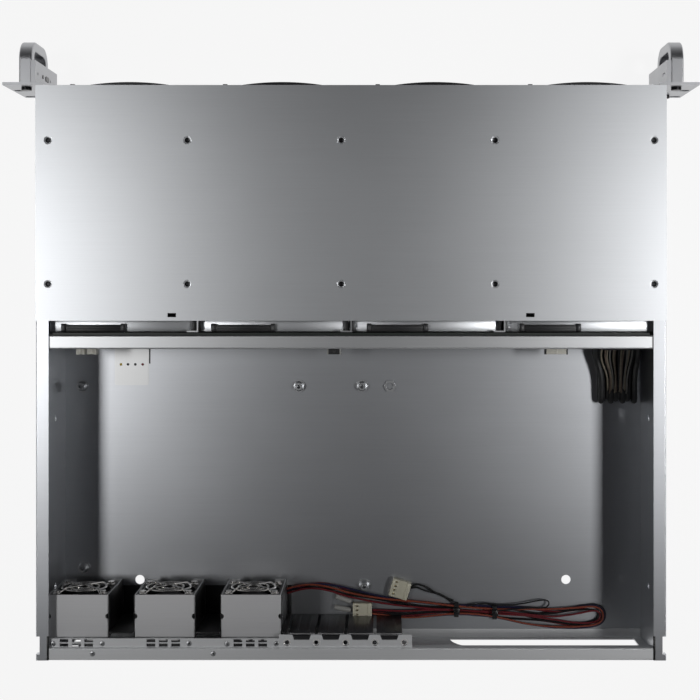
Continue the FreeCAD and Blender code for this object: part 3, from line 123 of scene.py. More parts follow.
def addRelief(tree, shader, height, strength, depth):
    # the fine unevenness of a surface, its depth in metres
    bump = addNode(tree, "Bump", {}, {"Height": height, "Strength": strength, "Distance": depth})
    tree.links.new(bump.outputs["Normal"], shader.inputs["Normal"])


steelLooks = {
    "panSheet": {"colour": (0.585, 0.60, 0.625), "rough": 0.335, "spangle": 620, "grain": "x", "mark": 0.012},
    "coverSheet": {"colour": (0.635, 0.65, 0.67), "rough": 0.39, "spangle": 620, "grain": "x", "mark": 0.012},
    "panelSheet": {"colour": (0.87, 0.88, 0.89), "rough": 0.57, "spangle": 520, "grain": "x", "mark": 0.015},
    "bracketSheet": {"colour": (0.76, 0.76, 0.77), "rough": 0.58, "spangle": 700, "grain": "x", "mark": 0.015},
    "zincParts": {"colour": (0.62, 0.63, 0.64), "rough": 0.34, "spangle": 620, "grain": "z", "mark": 0.02},
    "coverBlank": {"colour": (0.11, 0.11, 0.115), "rough": 0.34, "spangle": 420, "grain": "z", "mark": 0.02},
    "shieldFold": {"colour": (0.34, 0.34, 0.345), "rough": 0.50, "spangle": 420, "grain": "x", "mark": 0.02},
    "screwSteel": {"colour": (0.52, 0.53, 0.54), "rough": 0.40, "spangle": 900, "grain": "x", "mark": 0.02},
    "cardLabel": {"colour": (0.65, 0.655, 0.655), "rough": 0.40, "spangle": 900, "grain": "y", "mark": 0.02},
    "brushedBar": {"colour": (0.66, 0.67, 0.68), "rough": 0.38, "spangle": 700, "grain": "x", "mark": 0.02},
}


sheetPattern = {
    "grainAlong": 14, "grainAcross": 1500,  # rolled lines, few along the grain and many across it
    "cloud": 9.0,  # broad marks of handling
    "crystalShare": 0.05, "grainShare": 0.9,  # how the three are mixed
    "level": 0.495,  # brings the mix back to 0-1
    "tint": 0.05,
    "relief": (0.05, 0.00003),  # strength and depth
}


def sheetFinish(name, look):
    # zinc crystals, a rolling grain and the marks of handling, on bare metal
    finish, tree, shader = startFinish(name, {**look, "metallic": 1.0})
    place = addNode(tree, "TexCoord").outputs["Object"]
    crystals = addNode(tree, "TexVoronoi", {"feature": "F1"},
                       {"Vector": place, "Scale": look["spangle"], "Randomness": 1.0})
    crystalTone = addNode(tree, "SeparateColor", {}, {"Color": crystals.outputs["Color"]}).outputs[0]
    stretch = [sheetPattern["grainAlong" if axis == look["grain"] else "grainAcross"] for axis in "xyz"]
    lined = addNode(tree, "Mapping", {}, {"Vector": place, "Scale": stretch}).outputs["Vector"]
    grain = noise(tree, lined, 1.0, 3.0, 0.6)
    cloud = noise(tree, place, sheetPattern["cloud"], 6.0)
    mixed = multiplyAdd(tree, crystalTone, sheetPattern["crystalShare"], cloud)
    blended = multiplyAdd(tree, grain, sheetPattern["grainShare"], mixed)
    centred = multiply(tree, blended, sheetPattern["level"])
    tree.links.new(tint(tree, centred, look["colour"], sheetPattern["tint"]), shader.inputs["Base Color"])
    tree.links.new(around(tree, centred, look["rough"], look["mark"]), shader.inputs["Roughness"])
    addRelief(tree, shader, blended, *sheetPattern["relief"])
    return finish


plasticLooks = {
    "trayMoulding": {"colour": (0.022, 0.022, 0.024), "rough": 0.46, "speckle": 900},
    "leverMoulding": {"colour": (0.018, 0.018, 0.020), "rough": 0.36, "speckle": 1200},
    "fanMoulding": {"colour": (0.015, 0.015, 0.016), "rough": 0.40, "speckle": 900},
    "socketMoulding": {"colour": (0.020, 0.020, 0.021), "rough": 0.42, "speckle": 1500},
    "headerMoulding": {"colour": (0.78, 0.76, 0.68), "rough": 0.42, "speckle": 1500},
    "plugMoulding": {"colour": (0.70, 0.67, 0.53), "rough": 0.45, "speckle": 1300},
    "sleeveMoulding": {"colour": (0.42, 0.42, 0.40), "rough": 0.38, "speckle": 900},
    "tieMoulding": {"colour": (0.012, 0.012, 0.013), "rough": 0.35, "speckle": 1600},
    "buttonMoulding": {"colour": (0.10, 0.10, 0.105), "rough": 0.32, "speckle": 1500},
    "boardMask": {"colour": (0.012, 0.020, 0.016), "rough": 0.45, "speckle": 700},
    "yellowInk": {"colour": (0.62, 0.46, 0.06), "rough": 0.50, "speckle": 700},
}


mouldPattern = {
    "slow": 60.0,  # waves of shrinkage
    "fineShare": 0.5, "level": 0.67,  # how the two are mixed and brought back to 0-1
    "tint": 0.12, "mark": 0.06,
    "relief": (0.15, 0.00005),  # strength and depth
}


def mouldedFinish(name, look):
    # moulded plastic: fine texture of the tool, slow waves of shrinkage
    finish, tree, shader = startFinish(name, look)
    place = addNode(tree, "TexCoord").outputs["Object"]
    fine = noise(tree, place, look["speckle"])
    slow = noise(tree, place, mouldPattern["slow"])
    both = multiplyAdd(tree, fine, mouldPattern["fineShare"], slow)
    level = multiply(tree, both, mouldPattern["level"])
    tree.links.new(tint(tree, level, look["colour"], mouldPattern["tint"]), shader.inputs["Base Color"])
    tree.links.new(around(tree, level, look["rough"], mouldPattern["mark"]), shader.inputs["Roughness"])
    addRelief(tree, shader, both, *mouldPattern["relief"])
    return finish


castLooks = {
    "handleAlloy": {"colour": (0.40, 0.405, 0.42), "rough": 0.34, "grain": (1600, 1600, 60)},
    "earAlloy": {"colour": (0.44, 0.445, 0.46), "rough": 0.40, "grain": (60, 1600, 1600)},
    "chromedWire": {"colour": (0.90, 0.88, 0.85), "rough": 0.24, "grain": (900, 900, 900)},
    "blackScrew": {"colour": (0.030, 0.030, 0.032), "rough": 0.34, "grain": (900, 900, 900)},
    "brassPin": {"colour": (0.72, 0.55, 0.26), "rough": 0.28, "grain": (900, 900, 900)},
}


brushPattern = {
    "cloud": 45.0,  # uneven wear
    "lineShare": 0.6, "level": 0.62,  # how the two are mixed and brought back to 0-1
    "tint": 0.06, "mark": 0.06,
    "relief": (0.1, 0.00004),  # strength and depth
}


def brushedFinish(name, look):
    # satin or polished metal with fine lines along its length
    finish, tree, shader = startFinish(name, {**look, "metallic": 1.0})
    place = addNode(tree, "TexCoord").outputs["Object"]
    lined = addNode(tree, "Mapping", {}, {"Vector": place, "Scale": look["grain"]}).outputs["Vector"]
    lines = noise(tree, lined, 1.0, 4.0, 0.6)
    cloud = noise(tree, place, brushPattern["cloud"], 3.0)
    both = multiplyAdd(tree, lines, brushPattern["lineShare"], cloud)
    level = multiply(tree, both, brushPattern["level"])
    tree.links.new(tint(tree, level, look["colour"], brushPattern["tint"]), shader.inputs["Base Color"])
    tree.links.new(around(tree, level, look["rough"], brushPattern["mark"]), shader.inputs["Roughness"])
    addRelief(tree, shader, both, *brushPattern["relief"])
    return finish


wireLooks = {
    "redWire": (0.19, 0.018, 0.026),
    "orangeWire": (0.30, 0.065, 0.035),
    "blackWire": (0.010, 0.010, 0.011),
    "blueWire": (0.014, 0.014, 0.055),
    "khakiWire": (0.26, 0.225, 0.17),
    "brownWire": (0.15, 0.11, 0.085),
    "greyWire": (0.21, 0.205, 0.195),
}


wirePattern = {
    "rough": 0.38, "shine": 0.45,
    "streak": 420.0,
    "tint": 0.22, "mark": 0.08,
    "relief": (0.12, 0.00006),  # strength and depth
}


def wireFinish(name, colour):
    # soft vinyl with slight streaks
    finish, tree, shader = startFinish(name, {"colour": colour, "rough": wirePattern["rough"]})
    place = addNode(tree, "TexCoord").outputs["Object"]
    streak = noise(tree, place, wirePattern["streak"], 3.0)
    tree.links.new(tint(tree, streak, colour, wirePattern["tint"]), shader.inputs["Base Color"])
    rough = around(tree, streak, wirePattern["rough"], wirePattern["mark"])
    tree.links.new(rough, shader.inputs["Roughness"])
    shader.inputs["Specular IOR Level"].default_value = wirePattern["shine"]
    addRelief(tree, shader, streak, *wirePattern["relief"])
    return finish


clearLook = {
    "colour": (0.86, 0.88, 0.90), "rough": 0.12,
    "haze": 300.0, "cloudy": (0.14, 0.05),  # size of the haze, and the roughness that it gives
    "clear": 0.6, "bend": 1.49,  # share of light let through, and how far it bends
}


def clearFinish(name, look):
    # light pipes: clear plastic, faintly cloudy inside
    finish, tree, shader = startFinish(name, look)
    place = addNode(tree, "TexCoord").outputs["Object"]
    haze = noise(tree, place, look["haze"])
    tree.links.new(around(tree, haze, *look["cloudy"]), shader.inputs["Roughness"])
    shader.inputs["Transmission Weight"].default_value = look["clear"]
    shader.inputs["IOR"].default_value = look["bend"]
    return finish


finishes = {name: sheetFinish(name, look) for name, look in steelLooks.items()}
finishes.update({name: mouldedFinish(name, look) for name, look in plasticLooks.items()})
finishes.update({name: brushedFinish(name, look) for name, look in castLooks.items()})
finishes.update({name: wireFinish(name, colour) for name, colour in wireLooks.items()})
finishes["clearMoulding"] = clearFinish("clearMoulding", clearLook)
print("finishes made:", len(finishes))

# which finish each node of the frame takes
nodeFinishes = {
    "base_pan": "panSheet", "drive_bay_cover": "coverSheet", "rear_panel": "panelSheet",
    "crossbar": "brushedBar", "cage_divider": "zincParts", "fan_bracket": "bracketSheet",
    "slot_cover": "coverBlank", "board_standoffs": "zincParts", "cover_screws": "blackScrew",
    "handle_screws": "blackScrew", "fan_screws": "chromedWire", "ear_bracket": "earAlloy",
    "handle": "handleAlloy", "fan_frame": "fanMoulding", "fan_rotor": "fanMoulding",
    "fan_guard": "chromedWire", "drive_tray": "trayMoulding", "tray_lever": "leverMoulding",
    "drive_sockets": "socketMoulding", "backplane_headers": "headerMoulding", "backplane_board": "boardMask",
    "power_button": "buttonMoulding", "reset_button": "buttonMoulding", "light_pipes": "clearMoulding",
    "lead_plug": "plugMoulding", "cable_ties": "tieMoulding", "fan_lead": "redWire",
    "panel_cable": "khakiWire",
}


def dressNodes():
    for name, node in nodes.items():
        start = max((key for key in nodeFinishes if name.startswith(key)), key=len)
        node.data.materials.clear()
        node.data.materials.append(finishes[nodeFinishes[start]])


dressNodes()


def merge(shape, part, coat=0, place=None):
    # puts a finished part into a piece, in its place and with its own coat
    for face in part.faces:
        face.material_index = coat
    if place is not None:
        bmesh.ops.transform(part, matrix=place, verts=part.verts)
    mesh = bpy.data.meshes.new("part")
    part.to_mesh(mesh)
    part.free()
    shape.from_mesh(mesh)
    bpy.data.meshes.remove(mesh)


def turned(profile, sides=32):
    # a turned shape from (radius, height) pairs, about Z, closed where the radius is nought
    part = bmesh.new()
    dots = [part.verts.new((radius, 0, height)) for radius, height in profile]
    edges = [part.edges.new(pair) for pair in zip(dots, dots[1:])]
    bmesh.ops.spin(part, geom=dots + edges, cent=(0, 0, 0), axis=(0, 0, 1), angle=math.tau, steps=sides,
                   use_merge=True)
    bmesh.ops.remove_doubles(part, verts=part.verts, dist=0.000001)
    bmesh.ops.recalc_face_normals(part, faces=part.faces)
    return part


pieceSet = {
    "body": "chassis",  # nothing made here moves on its own
    "crease": 26,  # degrees, sharper edges stay hard
}


def makePiece(name, shape, coats, stands=()):
    # turns a finished shape into a piece that rides on the case, in place of the nodes it stands for
    mesh = bpy.data.meshes.new(name)
    shape.to_mesh(mesh)
    shape.free()
    mesh.shade_smooth()
    mesh.set_sharp_from_angle(angle=math.radians(pieceSet["crease"]))
    for coat in coats:
        mesh.materials.append(finishes[coat])
    piece = bpy.data.objects.new(name, mesh)
    scene.collection.objects.link(piece)
    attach(piece, pieceSet["body"])
    if stands:
        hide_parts(*stands)
    return piece


def spot(x=0.0, y=0.0, z=0.0, turn=0.0):
    # where a part drawn in millimetres goes, facing about Z
    facing = Matrix.Rotation(math.radians(turn), 4, "Z")
    return Matrix.Scale(0.001, 4) @ Matrix.Translation((x, y, z)) @ facing


def addBlock(shape, low, high, soft=0.0, coat=0, place=None):
    # a block between two corners in millimetres, with softened edges
    part = bmesh.new()
    bmesh.ops.create_cube(part, size=1)
    bmesh.ops.scale(part, vec=[b - a for a, b in zip(low, high)], verts=part.verts)
    bmesh.ops.translate(part, vec=[(a + b) / 2 for a, b in zip(low, high)], verts=part.verts)
    if soft:
        bmesh.ops.bevel(part, geom=list(part.edges), affect="EDGES", offset=soft, segments=2,
                        profile=0.5, material=-1, clamp_overlap=True)
    merge(shape, part, coat, spot() if place is None else place)


def readRoute(points):
    # the smooth line of a lead, from its given points in millimetres
    line = bpy.data.curves.new("route", "CURVE")
    line.dimensions = "3D"
    line.resolution_u = 8
    spline = line.splines.new("NURBS")
    spline.points.add(len(points) - 1)
    for dot, place in zip(spline.points, points):
        dot.co = (*(part / 1000 for part in place), 1)
    spline.order_u = 3
    spline.use_endpoint_u = True
    holder = bpy.data.objects.new("route", line)
    mesh = bpy.data.meshes.new_from_object(holder)
    path = [dot.co.copy() for dot in mesh.vertices]
    bpy.data.objects.remove(holder)
    return path


def strandTube(points, radius):
    # a round wire along a line, both in metres
    line = bpy.data.curves.new("strand", "CURVE")
    line.dimensions = "3D"
    line.bevel_depth = radius
    line.bevel_resolution = 2
    line.use_fill_caps = True
    spline = line.splines.new("POLY")
    spline.points.add(len(points) - 1)
    for dot, place in zip(spline.points, points):
        dot.co = (*place, 1)
    holder = bpy.data.objects.new("strand", line)
    mesh = bpy.data.meshes.new_from_object(holder)
    part = bmesh.new()
    part.from_mesh(mesh)
    bpy.data.objects.remove(holder)
    bpy.data.meshes.remove(mesh)
    return part


leadSet = {
    # these in metres
    "radius": 0.0007,  # one insulated wire
    "bundle": 0.0036,  # tied bundle across
    "mainLength": 0.42,
    "branchLength": 0.033,
    # the rest in millimetres
    "high": 4.8,
    "main": [(48.6, 163.8), (40.0, 161.2), (28.0, 159.6), (14.0, 161.4), (1.0, 165.2), (-16.0, 169.2),
             (-36.0, 173.0), (-56.0, 174.4), (-76.0, 175.0), (-98.0, 176.4), (-122.0, 178.6), (-144.0, 179.6),
             (-160.0, 178.0), (-172.0, 175.6), (-180.6, 175.6), (-184.2, 180.8), (-181.6, 187.0),
             (-172.0, 189.0), (-156.0, 188.6), (-136.0, 186.0), (-114.0, 182.4), (-94.0, 180.0),
             (-76.0, 179.6), (-56.0, 180.6), (-38.0, 180.4), (-24.0, 179.0), (-14.2, 178.6)],
    "loop": [(-84.0, 174.6, 6.4), (-94.0, 171.4, 6.8), (-108.7, 174.0, 7.0), (-122.6, 173.0, 6.6),
             (-133.6, 170.8, 6.2), (-142.5, 169.6, 6.0), (-144.6, 172.9, 6.0), (-140.6, 176.4, 6.4),
             (-130.0, 175.2, 7.2), (-115.0, 177.0, 7.6), (-102.0, 178.0, 7.2)],
    "branch": [(-73.6, 171.0), (-67.0, 167.4), (-60.0, 165.0), (-52.5, 161.6), (-46.0, 160.0),
               (-41.45, 162.4)],
    # coat, sideways, up, waves, their phase and their swing, in wire radii
    "mainWires": [("redWire", -3.5, 1.0, 5.3, 0.4, 1.3), ("orangeWire", 2.0, 2.3, 4.1, 2.0, 1.9),
                  ("blackWire", -1.9, -1.8, 6.2, 1.1, 1.7), ("blueWire", 3.2, 0.4, 3.6, 4.4, 1.3),
                  ("blackWire", 0.6, -1.1, 4.8, 3.1, 2.4), ("redWire", 1.0, -2.6, 5.7, 5.2, 1.9)],
    "branchWires": [("blackWire", -1.5, 0.8, 0.9, 0.2, 1.6), ("blackWire", 0.9, -0.9, 1.4, 2.0, 1.2)],
    "closed": 0.7,  # how close the wires lie at a tie or plug
    "openWithin": 0.022,  # metres from there to where they are apart again
    "sideways": 4.4, "upwards": 3.2, "downwards": 3.9,  # as far as a wire strays, in wire radii
    "liftShare": 0.35, "liftWaves": 0.8,  # its rise and fall beside its sideways swing
    "ties": ((-76, 175), (-76, 179.3), (-104, 176.7), (-104, 181)),
    "loopShare": 0.8,  # the bowed wire beside the others
}


def layStrands(shape, path, wires, coats, pinches):
    # each wire keeps its own way beside the middle line and closes in at the ties and plugs
    radius, closed = leadSet["radius"], leadSet["closed"]
    steps = [0.0]
    for a, b in zip(path, path[1:]):
        steps.append(steps[-1] + (b - a).length)
    total = steps[-1]
    for coat, across, up, waves, phase, swing in wires:
        places = []
        for number, dot in enumerate(path):
            ahead = path[min(number + 1, len(path) - 1)] - path[max(number - 1, 0)]
            side = Vector((-ahead.y, ahead.x, 0)).normalized()
            share = steps[number] / total
            near = min(abs((dot - pinch).length) for pinch in pinches)
            spread = closed + (1 - closed) * min(1.0, near / leadSet["openWithin"])
            wander = across + swing * math.sin(math.tau * waves * share + phase)
            rise = math.cos(math.tau * waves * leadSet["liftWaves"] * share + phase)
            lift = up + leadSet["liftShare"] * swing * rise
            wander = max(-leadSet["sideways"], min(leadSet["sideways"], wander)) * spread
            lift = max(-leadSet["downwards"], min(leadSet["upwards"], lift)) * spread
            places.append(dot + side * (wander * radius) + Vector((0, 0, lift * radius)))
        merge(shape, strandTube(places, radius), coats.index(coat))


def makeLeads():
    # the fan leads lie on the floor, double back at the far end and come in to their plug
    main = readRoute([(x, y, leadSet["high"]) for x, y in leadSet["main"]])
    branch = readRoute([(x, y, leadSet["high"]) for x, y in leadSet["branch"]])
    coats = ["redWire", "orangeWire", "blackWire", "blueWire"]
    ties = [Vector((x / 1000, y / 1000, leadSet["high"] / 1000)) for x, y in leadSet["ties"]]
    shape = bmesh.new()
    layStrands(shape, main, leadSet["mainWires"], coats, ties + [main[0], main[-1]])
    lead = makePiece("fanLeads", shape, coats, stands=["fan_lead_main"])
    shape = bmesh.new()
    layStrands(shape, branch, leadSet["branchWires"], coats, ties + [branch[-1]])
    tail = makePiece("fanTail", shape, coats, stands=["fan_lead_branch"])
    # one black wire bows out between the two ties
    shape = bmesh.new()
    merge(shape, strandTube(readRoute(leadSet["loop"]), leadSet["radius"] * leadSet["loopShare"]))
    bow = makePiece("fanLeadBow", shape, ["blackWire"])
    return lead, tail, bow, main, branch


plugSet = {
    "long": 14.0, "deep": 13.0, "tall": 7.0, "rise": 1.5,
    "ways": 4, "pitch": 3.0,
    "window": (1.9, 1.1),  # small opening over each contact, its floor painted black as shade
    "windowSet": 2.2,  # its place from the mating end
    "windowLow": 0.7,  # its floor, as a share of the height
    "skirt": 1.0,  # how far the blocks reach into each other
    "pin": 0.3, "pinTall": 0.7,  # contact in the window, half its width and its height
    "collar": [(0, 0), (1.15, 0), (1.05, 0.5), (0.6, 0.5), (0.6, 0.1), (0, 0.1)],  # black ring where a wire goes in, painted shade round the wire
    "mouth": (0.8, -1.6, 1.2),  # black patch painted as the shade of a contact hole: its half width, from and to beside the middle
    "rib": (3.2, 2.2, 0.45),  # from and to before the wire end, its height
    "latch": (0.5, 1.2, 0.6),  # share of the width, its reach and height
    # place on the case, then turn
    "main": (-7.0, 178.6, 180.0),
    "branch": (-34.6, 161.9, 163.0),
}


def makePlug(name, place, node):
    # a four-way housing: a small window over each contact, a rib where fingers grip, wires in at one end. Black
    # patches paint the shade in the windows, in the contact holes and round the wires
    half, side, tall = plugSet["long"] / 2, plugSet["deep"] / 2, plugSet["tall"]
    long, wide = plugSet["window"]
    near = -half + plugSet["windowSet"]
    far = near + long
    low = tall * plugSet["windowLow"]
    foot = low - plugSet["skirt"]
    lanes = [plugSet["pitch"] * (number - (plugSet["ways"] - 1) / 2) for number in range(plugSet["ways"])]
    shape = bmesh.new()
    at = spot(place[0], place[1], plugSet["rise"], place[2])
    # the body, and its walls on both sides of the windows
    addBlock(shape, (-half, -side, 0), (half, side, low), 0.4, 0, at)
    addBlock(shape, (-half, -side, foot), (near, side, tall), 0.35, 0, at)
    addBlock(shape, (far, -side, foot), (half, side, tall), 0.45, 0, at)
    # bars between the windows
    edges = [-side] + [lane + swing * wide / 2 for lane in lanes for swing in (-1, 1)] + [side]
    for start, end in zip(edges[::2], edges[1::2]):
        addBlock(shape, (near - 1, start, foot), (far + 1, end, tall - 0.1), 0.12, 0, at)
    pin, (mouth, under, over) = plugSet["pin"], plugSet["mouth"]
    for y in lanes:
        # painted shade: a black floor in each window
        addBlock(shape, (near, y - wide / 2, foot), (far, y + wide / 2, low + 0.1), 0, 2, at)
        addBlock(shape, (near + 0.2, y - pin, low),
                 (far - 0.5, y + pin, low + plugSet["pinTall"]), 0.1, 1, at)
        # painted shade: a black ring round each wire's way in
        turn = Matrix.Translation((half - 0.02, y, tall / 2)) @ Matrix.Rotation(math.pi / 2, 4, "Y")
        merge(shape, turned(plugSet["collar"], 16), 2, at @ turn)
        # painted shade: a black patch for each contact hole
        addBlock(shape, (-half - 0.04, y - mouth, tall / 2 + under),
                 (-half + 1, y + mouth, tall / 2 + over), 0, 2, at)
    # grip rib across the top and the latch over the mating end
    start, end, rise = plugSet["rib"]
    addBlock(shape, (half - start, -side, tall - 0.5), (half - end, side, tall + rise), 0.25, 0, at)
    share, reach, rise = plugSet["latch"]
    addBlock(shape, (-half - 0.02, -side * share, tall - 0.2),
             (-half + reach, side * share, tall + rise), 0.2, 0, at)
    return makePiece(name, shape, ["plugMoulding", "brassPin", "socketMoulding"], stands=[node])


sleeveSet = {
    "radius": 1.9, "high": 4.2,
    "runs": (((12.8, 167.6), (1.2, 171.6)), ((13.6, 175.6), (1.4, 177.8))),  # from, to
}


def makeSleeves():
    # pale sleeves that hold the spare wire ends
    shape = bmesh.new()
    for start, end in sleeveSet["runs"]:
        reach = Vector((end[0] - start[0], end[1] - start[1], 0))
        radius = sleeveSet["radius"]
        # dished at one end, rounded at the other
        long = reach.length
        tube = turned([(0, 0.4), (radius * 0.6, 0.4), (radius * 0.8, 0), (radius, 0.5), (radius, long - 1),
                       (radius * 0.85, long), (0, long)], 20)
        lie = reach.to_track_quat("Z", "Y").to_matrix().to_4x4()
        merge(shape, tube, 0, spot() @ Matrix.Translation((*start, sleeveSet["high"])) @ lie)
    makePiece("wireSleeves", shape, ["sleeveMoulding"])


tieSet = {
    "places": ((-76.0, 171.7, 182.9), (-104.0, 172.9, 184.6)),  # across the case, from, to
    "wide": 3.2, "thick": 0.8, "low": 1.9, "high": 7.6,
    "lock": (4.6, 4.4, 3.2), "lockSunk": 0.6,
    "tail": (0.2, 0.4, 1.6), "tailSunk": 0.3,  # cut end above the lock: set in, half its depth, its height
}


def makeTies():
    # flat bands round the leads, each with its lock and cut end on top
    shape = bmesh.new()
    for x, near, far in tieSet["places"]:
        middle, rise = (near + far) / 2, (tieSet["low"] + tieSet["high"]) / 2
        radius = (tieSet["high"] - tieSet["low"]) / 2
        reach = (far - near) / 2 - radius
        band = bmesh.new()
        bmesh.ops.create_circle(band, cap_ends=False, radius=radius, segments=40)
        bmesh.ops.translate(band, vec=(reach, 0, 0), verts=[dot for dot in band.verts if dot.co.x > 0.001])
        bmesh.ops.translate(band, vec=(-reach, 0, 0), verts=[dot for dot in band.verts if dot.co.x < -0.001])
        drawn = bmesh.ops.extrude_edge_only(band, edges=list(band.edges))["geom"]
        bmesh.ops.translate(band, vec=(0, 0, tieSet["wide"]),
                            verts=[part for part in drawn if isinstance(part, bmesh.types.BMVert)])
        bmesh.ops.recalc_face_normals(band, faces=band.faces)
        bmesh.ops.solidify(band, geom=list(band.faces), thickness=tieSet["thick"])
        upright = Matrix(((0, 0, 1, 0), (1, 0, 0, 0), (0, 1, 0, 0), (0, 0, 0, 1)))
        merge(shape, band, 0, spot() @ Matrix.Translation((x - tieSet["wide"] / 2, middle, rise)) @ upright)
        wide, deep, tall = tieSet["lock"]
        top = tieSet["high"]
        addBlock(shape, (x - wide / 2, middle - deep / 2, top - tieSet["lockSunk"]),
                 (x + wide / 2, middle + deep / 2, top + tall), 0.5)
        inset, half, rise = tieSet["tail"]
        addBlock(shape, (x - tieSet["wide"] / 2 + inset, middle - half, top + tall - tieSet["tailSunk"]),
                 (x + tieSet["wide"] / 2 - inset, middle + half, top + tall + rise), 0.2)
    return makePiece("cableTies", shape, ["tieMoulding"], stands=["cable_ties"])


panelSet = {
    "first": -203.0, "last": -181.0,
    "radius": 0.62,
    "rises": (34.0, 16.0), "start": -25.5,  # where the wires leave the board
    "high": 14.5, "low": 7.0, "fold": 17.0,
    "foldUneven": 1.6,  # some wires reach out further than others
    "middle": -194.5, "gather": 0.62,  # where the wires close in at the fold, and how far
    "lean": 1.2,
    "coats": ("greyWire", "khakiWire", "greyWire", "brownWire", "khakiWire", "blackWire", "brownWire",
              "khakiWire", "greyWire", "khakiWire", "brownWire", "khakiWire"),
    # black wires bunched below them, thick enough to paint the shade round the fold too
    "underRadius": 2.3,
    "under": (-177.5, -181.0, -184.5, -188.0, -191.5, -195.0, -198.5, -202.0, -205.0, -208.0),
    "underRises": (24.0, 12.0),
    "underGather": (0.75, 0.85),
    # the first wire of three, and the change to the next
    "underHigh": (11.0, -0.7), "underLow": (4.8, 0.5), "underFold": (24.5, -1.5),
    "plug": (2.2, -0.3, 11, 2.6),  # past the wires, from, to along the case, half its height
}


def foldWire(x, inner, number, rises, high, low, reach):
    # one wire: out of the board, down to the floor, out over it and back underneath
    start = panelSet["start"]
    lean = panelSet["lean"] * math.sin(2.4 * number)
    points = [(x, start, rises[0]), (x, start + 5, rises[0] - 2), (x + lean * 0.3, start + 10, high + 5),
              (x + lean * 0.5, start + 18, high), (inner + lean * 0.6, start + 30, high - 0.6),
              (inner + lean * 0.2, reach - 3, high - 1.5), (inner, reach, (high + low) / 2),
              (inner - lean * 0.2, reach - 4, low + 0.6), (inner - lean * 0.6, start + 26, low),
              (x - lean * 0.4, start + 15, low), (x, start + 6, low + 4), (x, start, rises[1])]
    return readRoute(points)


def makePanelCable():
    # thin loose wires that fold down over a bunch of thick black ones, which also paint the shade round the
    # fold
    shape = bmesh.new()
    coats = ["khakiWire", "greyWire", "brownWire", "blackWire"]
    first, last, middle = panelSet["first"], panelSet["last"], panelSet["middle"]
    for number, coat in enumerate(panelSet["coats"]):
        x = first + (last - first) * number / (len(panelSet["coats"]) - 1)
        inner = middle + (x - middle) * panelSet["gather"]
        reach = panelSet["fold"] + panelSet["foldUneven"] * math.cos(1.9 * number)
        route = foldWire(x, inner, number, panelSet["rises"], panelSet["high"], panelSet["low"], reach)
        merge(shape, strandTube(route, panelSet["radius"] / 1000), coats.index(coat))
    # the black bunch: black wires, and painted shade round the fold
    for number, x in enumerate(panelSet["under"]):
        inner = middle + (x - middle) * panelSet["underGather"][number % 2]
        high, low, reach = (start + change * (number % 3) for start, change in
                            (panelSet["underHigh"], panelSet["underLow"], panelSet["underFold"]))
        route = foldWire(x, inner, number, panelSet["underRises"], high, low, reach)
        merge(shape, strandTube(route, panelSet["underRadius"] / 1000), coats.index("blackWire"))
    makePiece("panelWires", shape, coats, stands=["panel_cable"])
    # the housings that the wires are crimped into
    shape = bmesh.new()
    past, near, far, half = panelSet["plug"]
    for rise in panelSet["rises"]:
        addBlock(shape, (first - past, panelSet["start"] + near, rise - half),
                 (last + past, panelSet["start"] + far, rise + half), 0.5)
    makePiece("panelPlugs", shape, ["socketMoulding"])


lead, tail, bow, mainPath, branchPath = makeLeads()
mainPlug = makePlug("mainPlug", plugSet["main"], "lead_plug_main")
branchPlug = makePlug("branchPlug", plugSet["branch"], "lead_plug_branch")
ties = makeTies()
makeSleeves()
makePanelCable()
print("leads, plugs, ties and panel cable made")


def boxOf(node):
    # a node's lowest and highest corners, in millimetres
    return [[part * 1000 for part in corner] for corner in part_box(node)]


def wireRing(radius, wire, sides=40):
    # a bent ring of round wire, flat on XY
    corners = [math.tau * number / 10 for number in range(11)]
    return turned([(radius + wire * math.cos(turn), wire * math.sin(turn)) for turn in corners], sides)


shieldSet = {
    "front": 181.2, "back": 181.9, "low": 2.4, "high": 59.2,
    "gap": 0.15,
    "lip": (181.6, 182.7),  # pale fold along the top
    "rib": 1.3,  # half its width
    "ribPlaces": (0.28, 0.72),  # shares of the plate's width
    "ribSet": (5, 6),  # from the plate's foot and from its top
}


def makeShields():
    # dark plates close the card slots from inside, each with a pale fold on top and two pressed ribs
    shape = bmesh.new()
    front, back, high = shieldSet["front"], shieldSet["back"], shieldSet["high"]
    for number in range(1, 5):
        low, far = boxOf("slot_cover_%d" % number)
        left, right = low[0] + shieldSet["gap"], far[0] - shieldSet["gap"]
        addBlock(shape, (left, front, shieldSet["low"]), (right, back, high), 0.25)
        near, out = shieldSet["lip"]
        addBlock(shape, (left, near, high - 0.6), (right, out, high + 0.1), 0.2, 1)
        foot, head = shieldSet["ribSet"]
        for share in shieldSet["ribPlaces"]:
            x = left + share * (right - left)
            addBlock(shape, (x - shieldSet["rib"], front - 0.3, shieldSet["low"] + foot),
                     (x + shieldSet["rib"], front + 0.2, high - head), 0.25)
    makePiece("slotShields", shape, ["coverBlank", "shieldFold"])


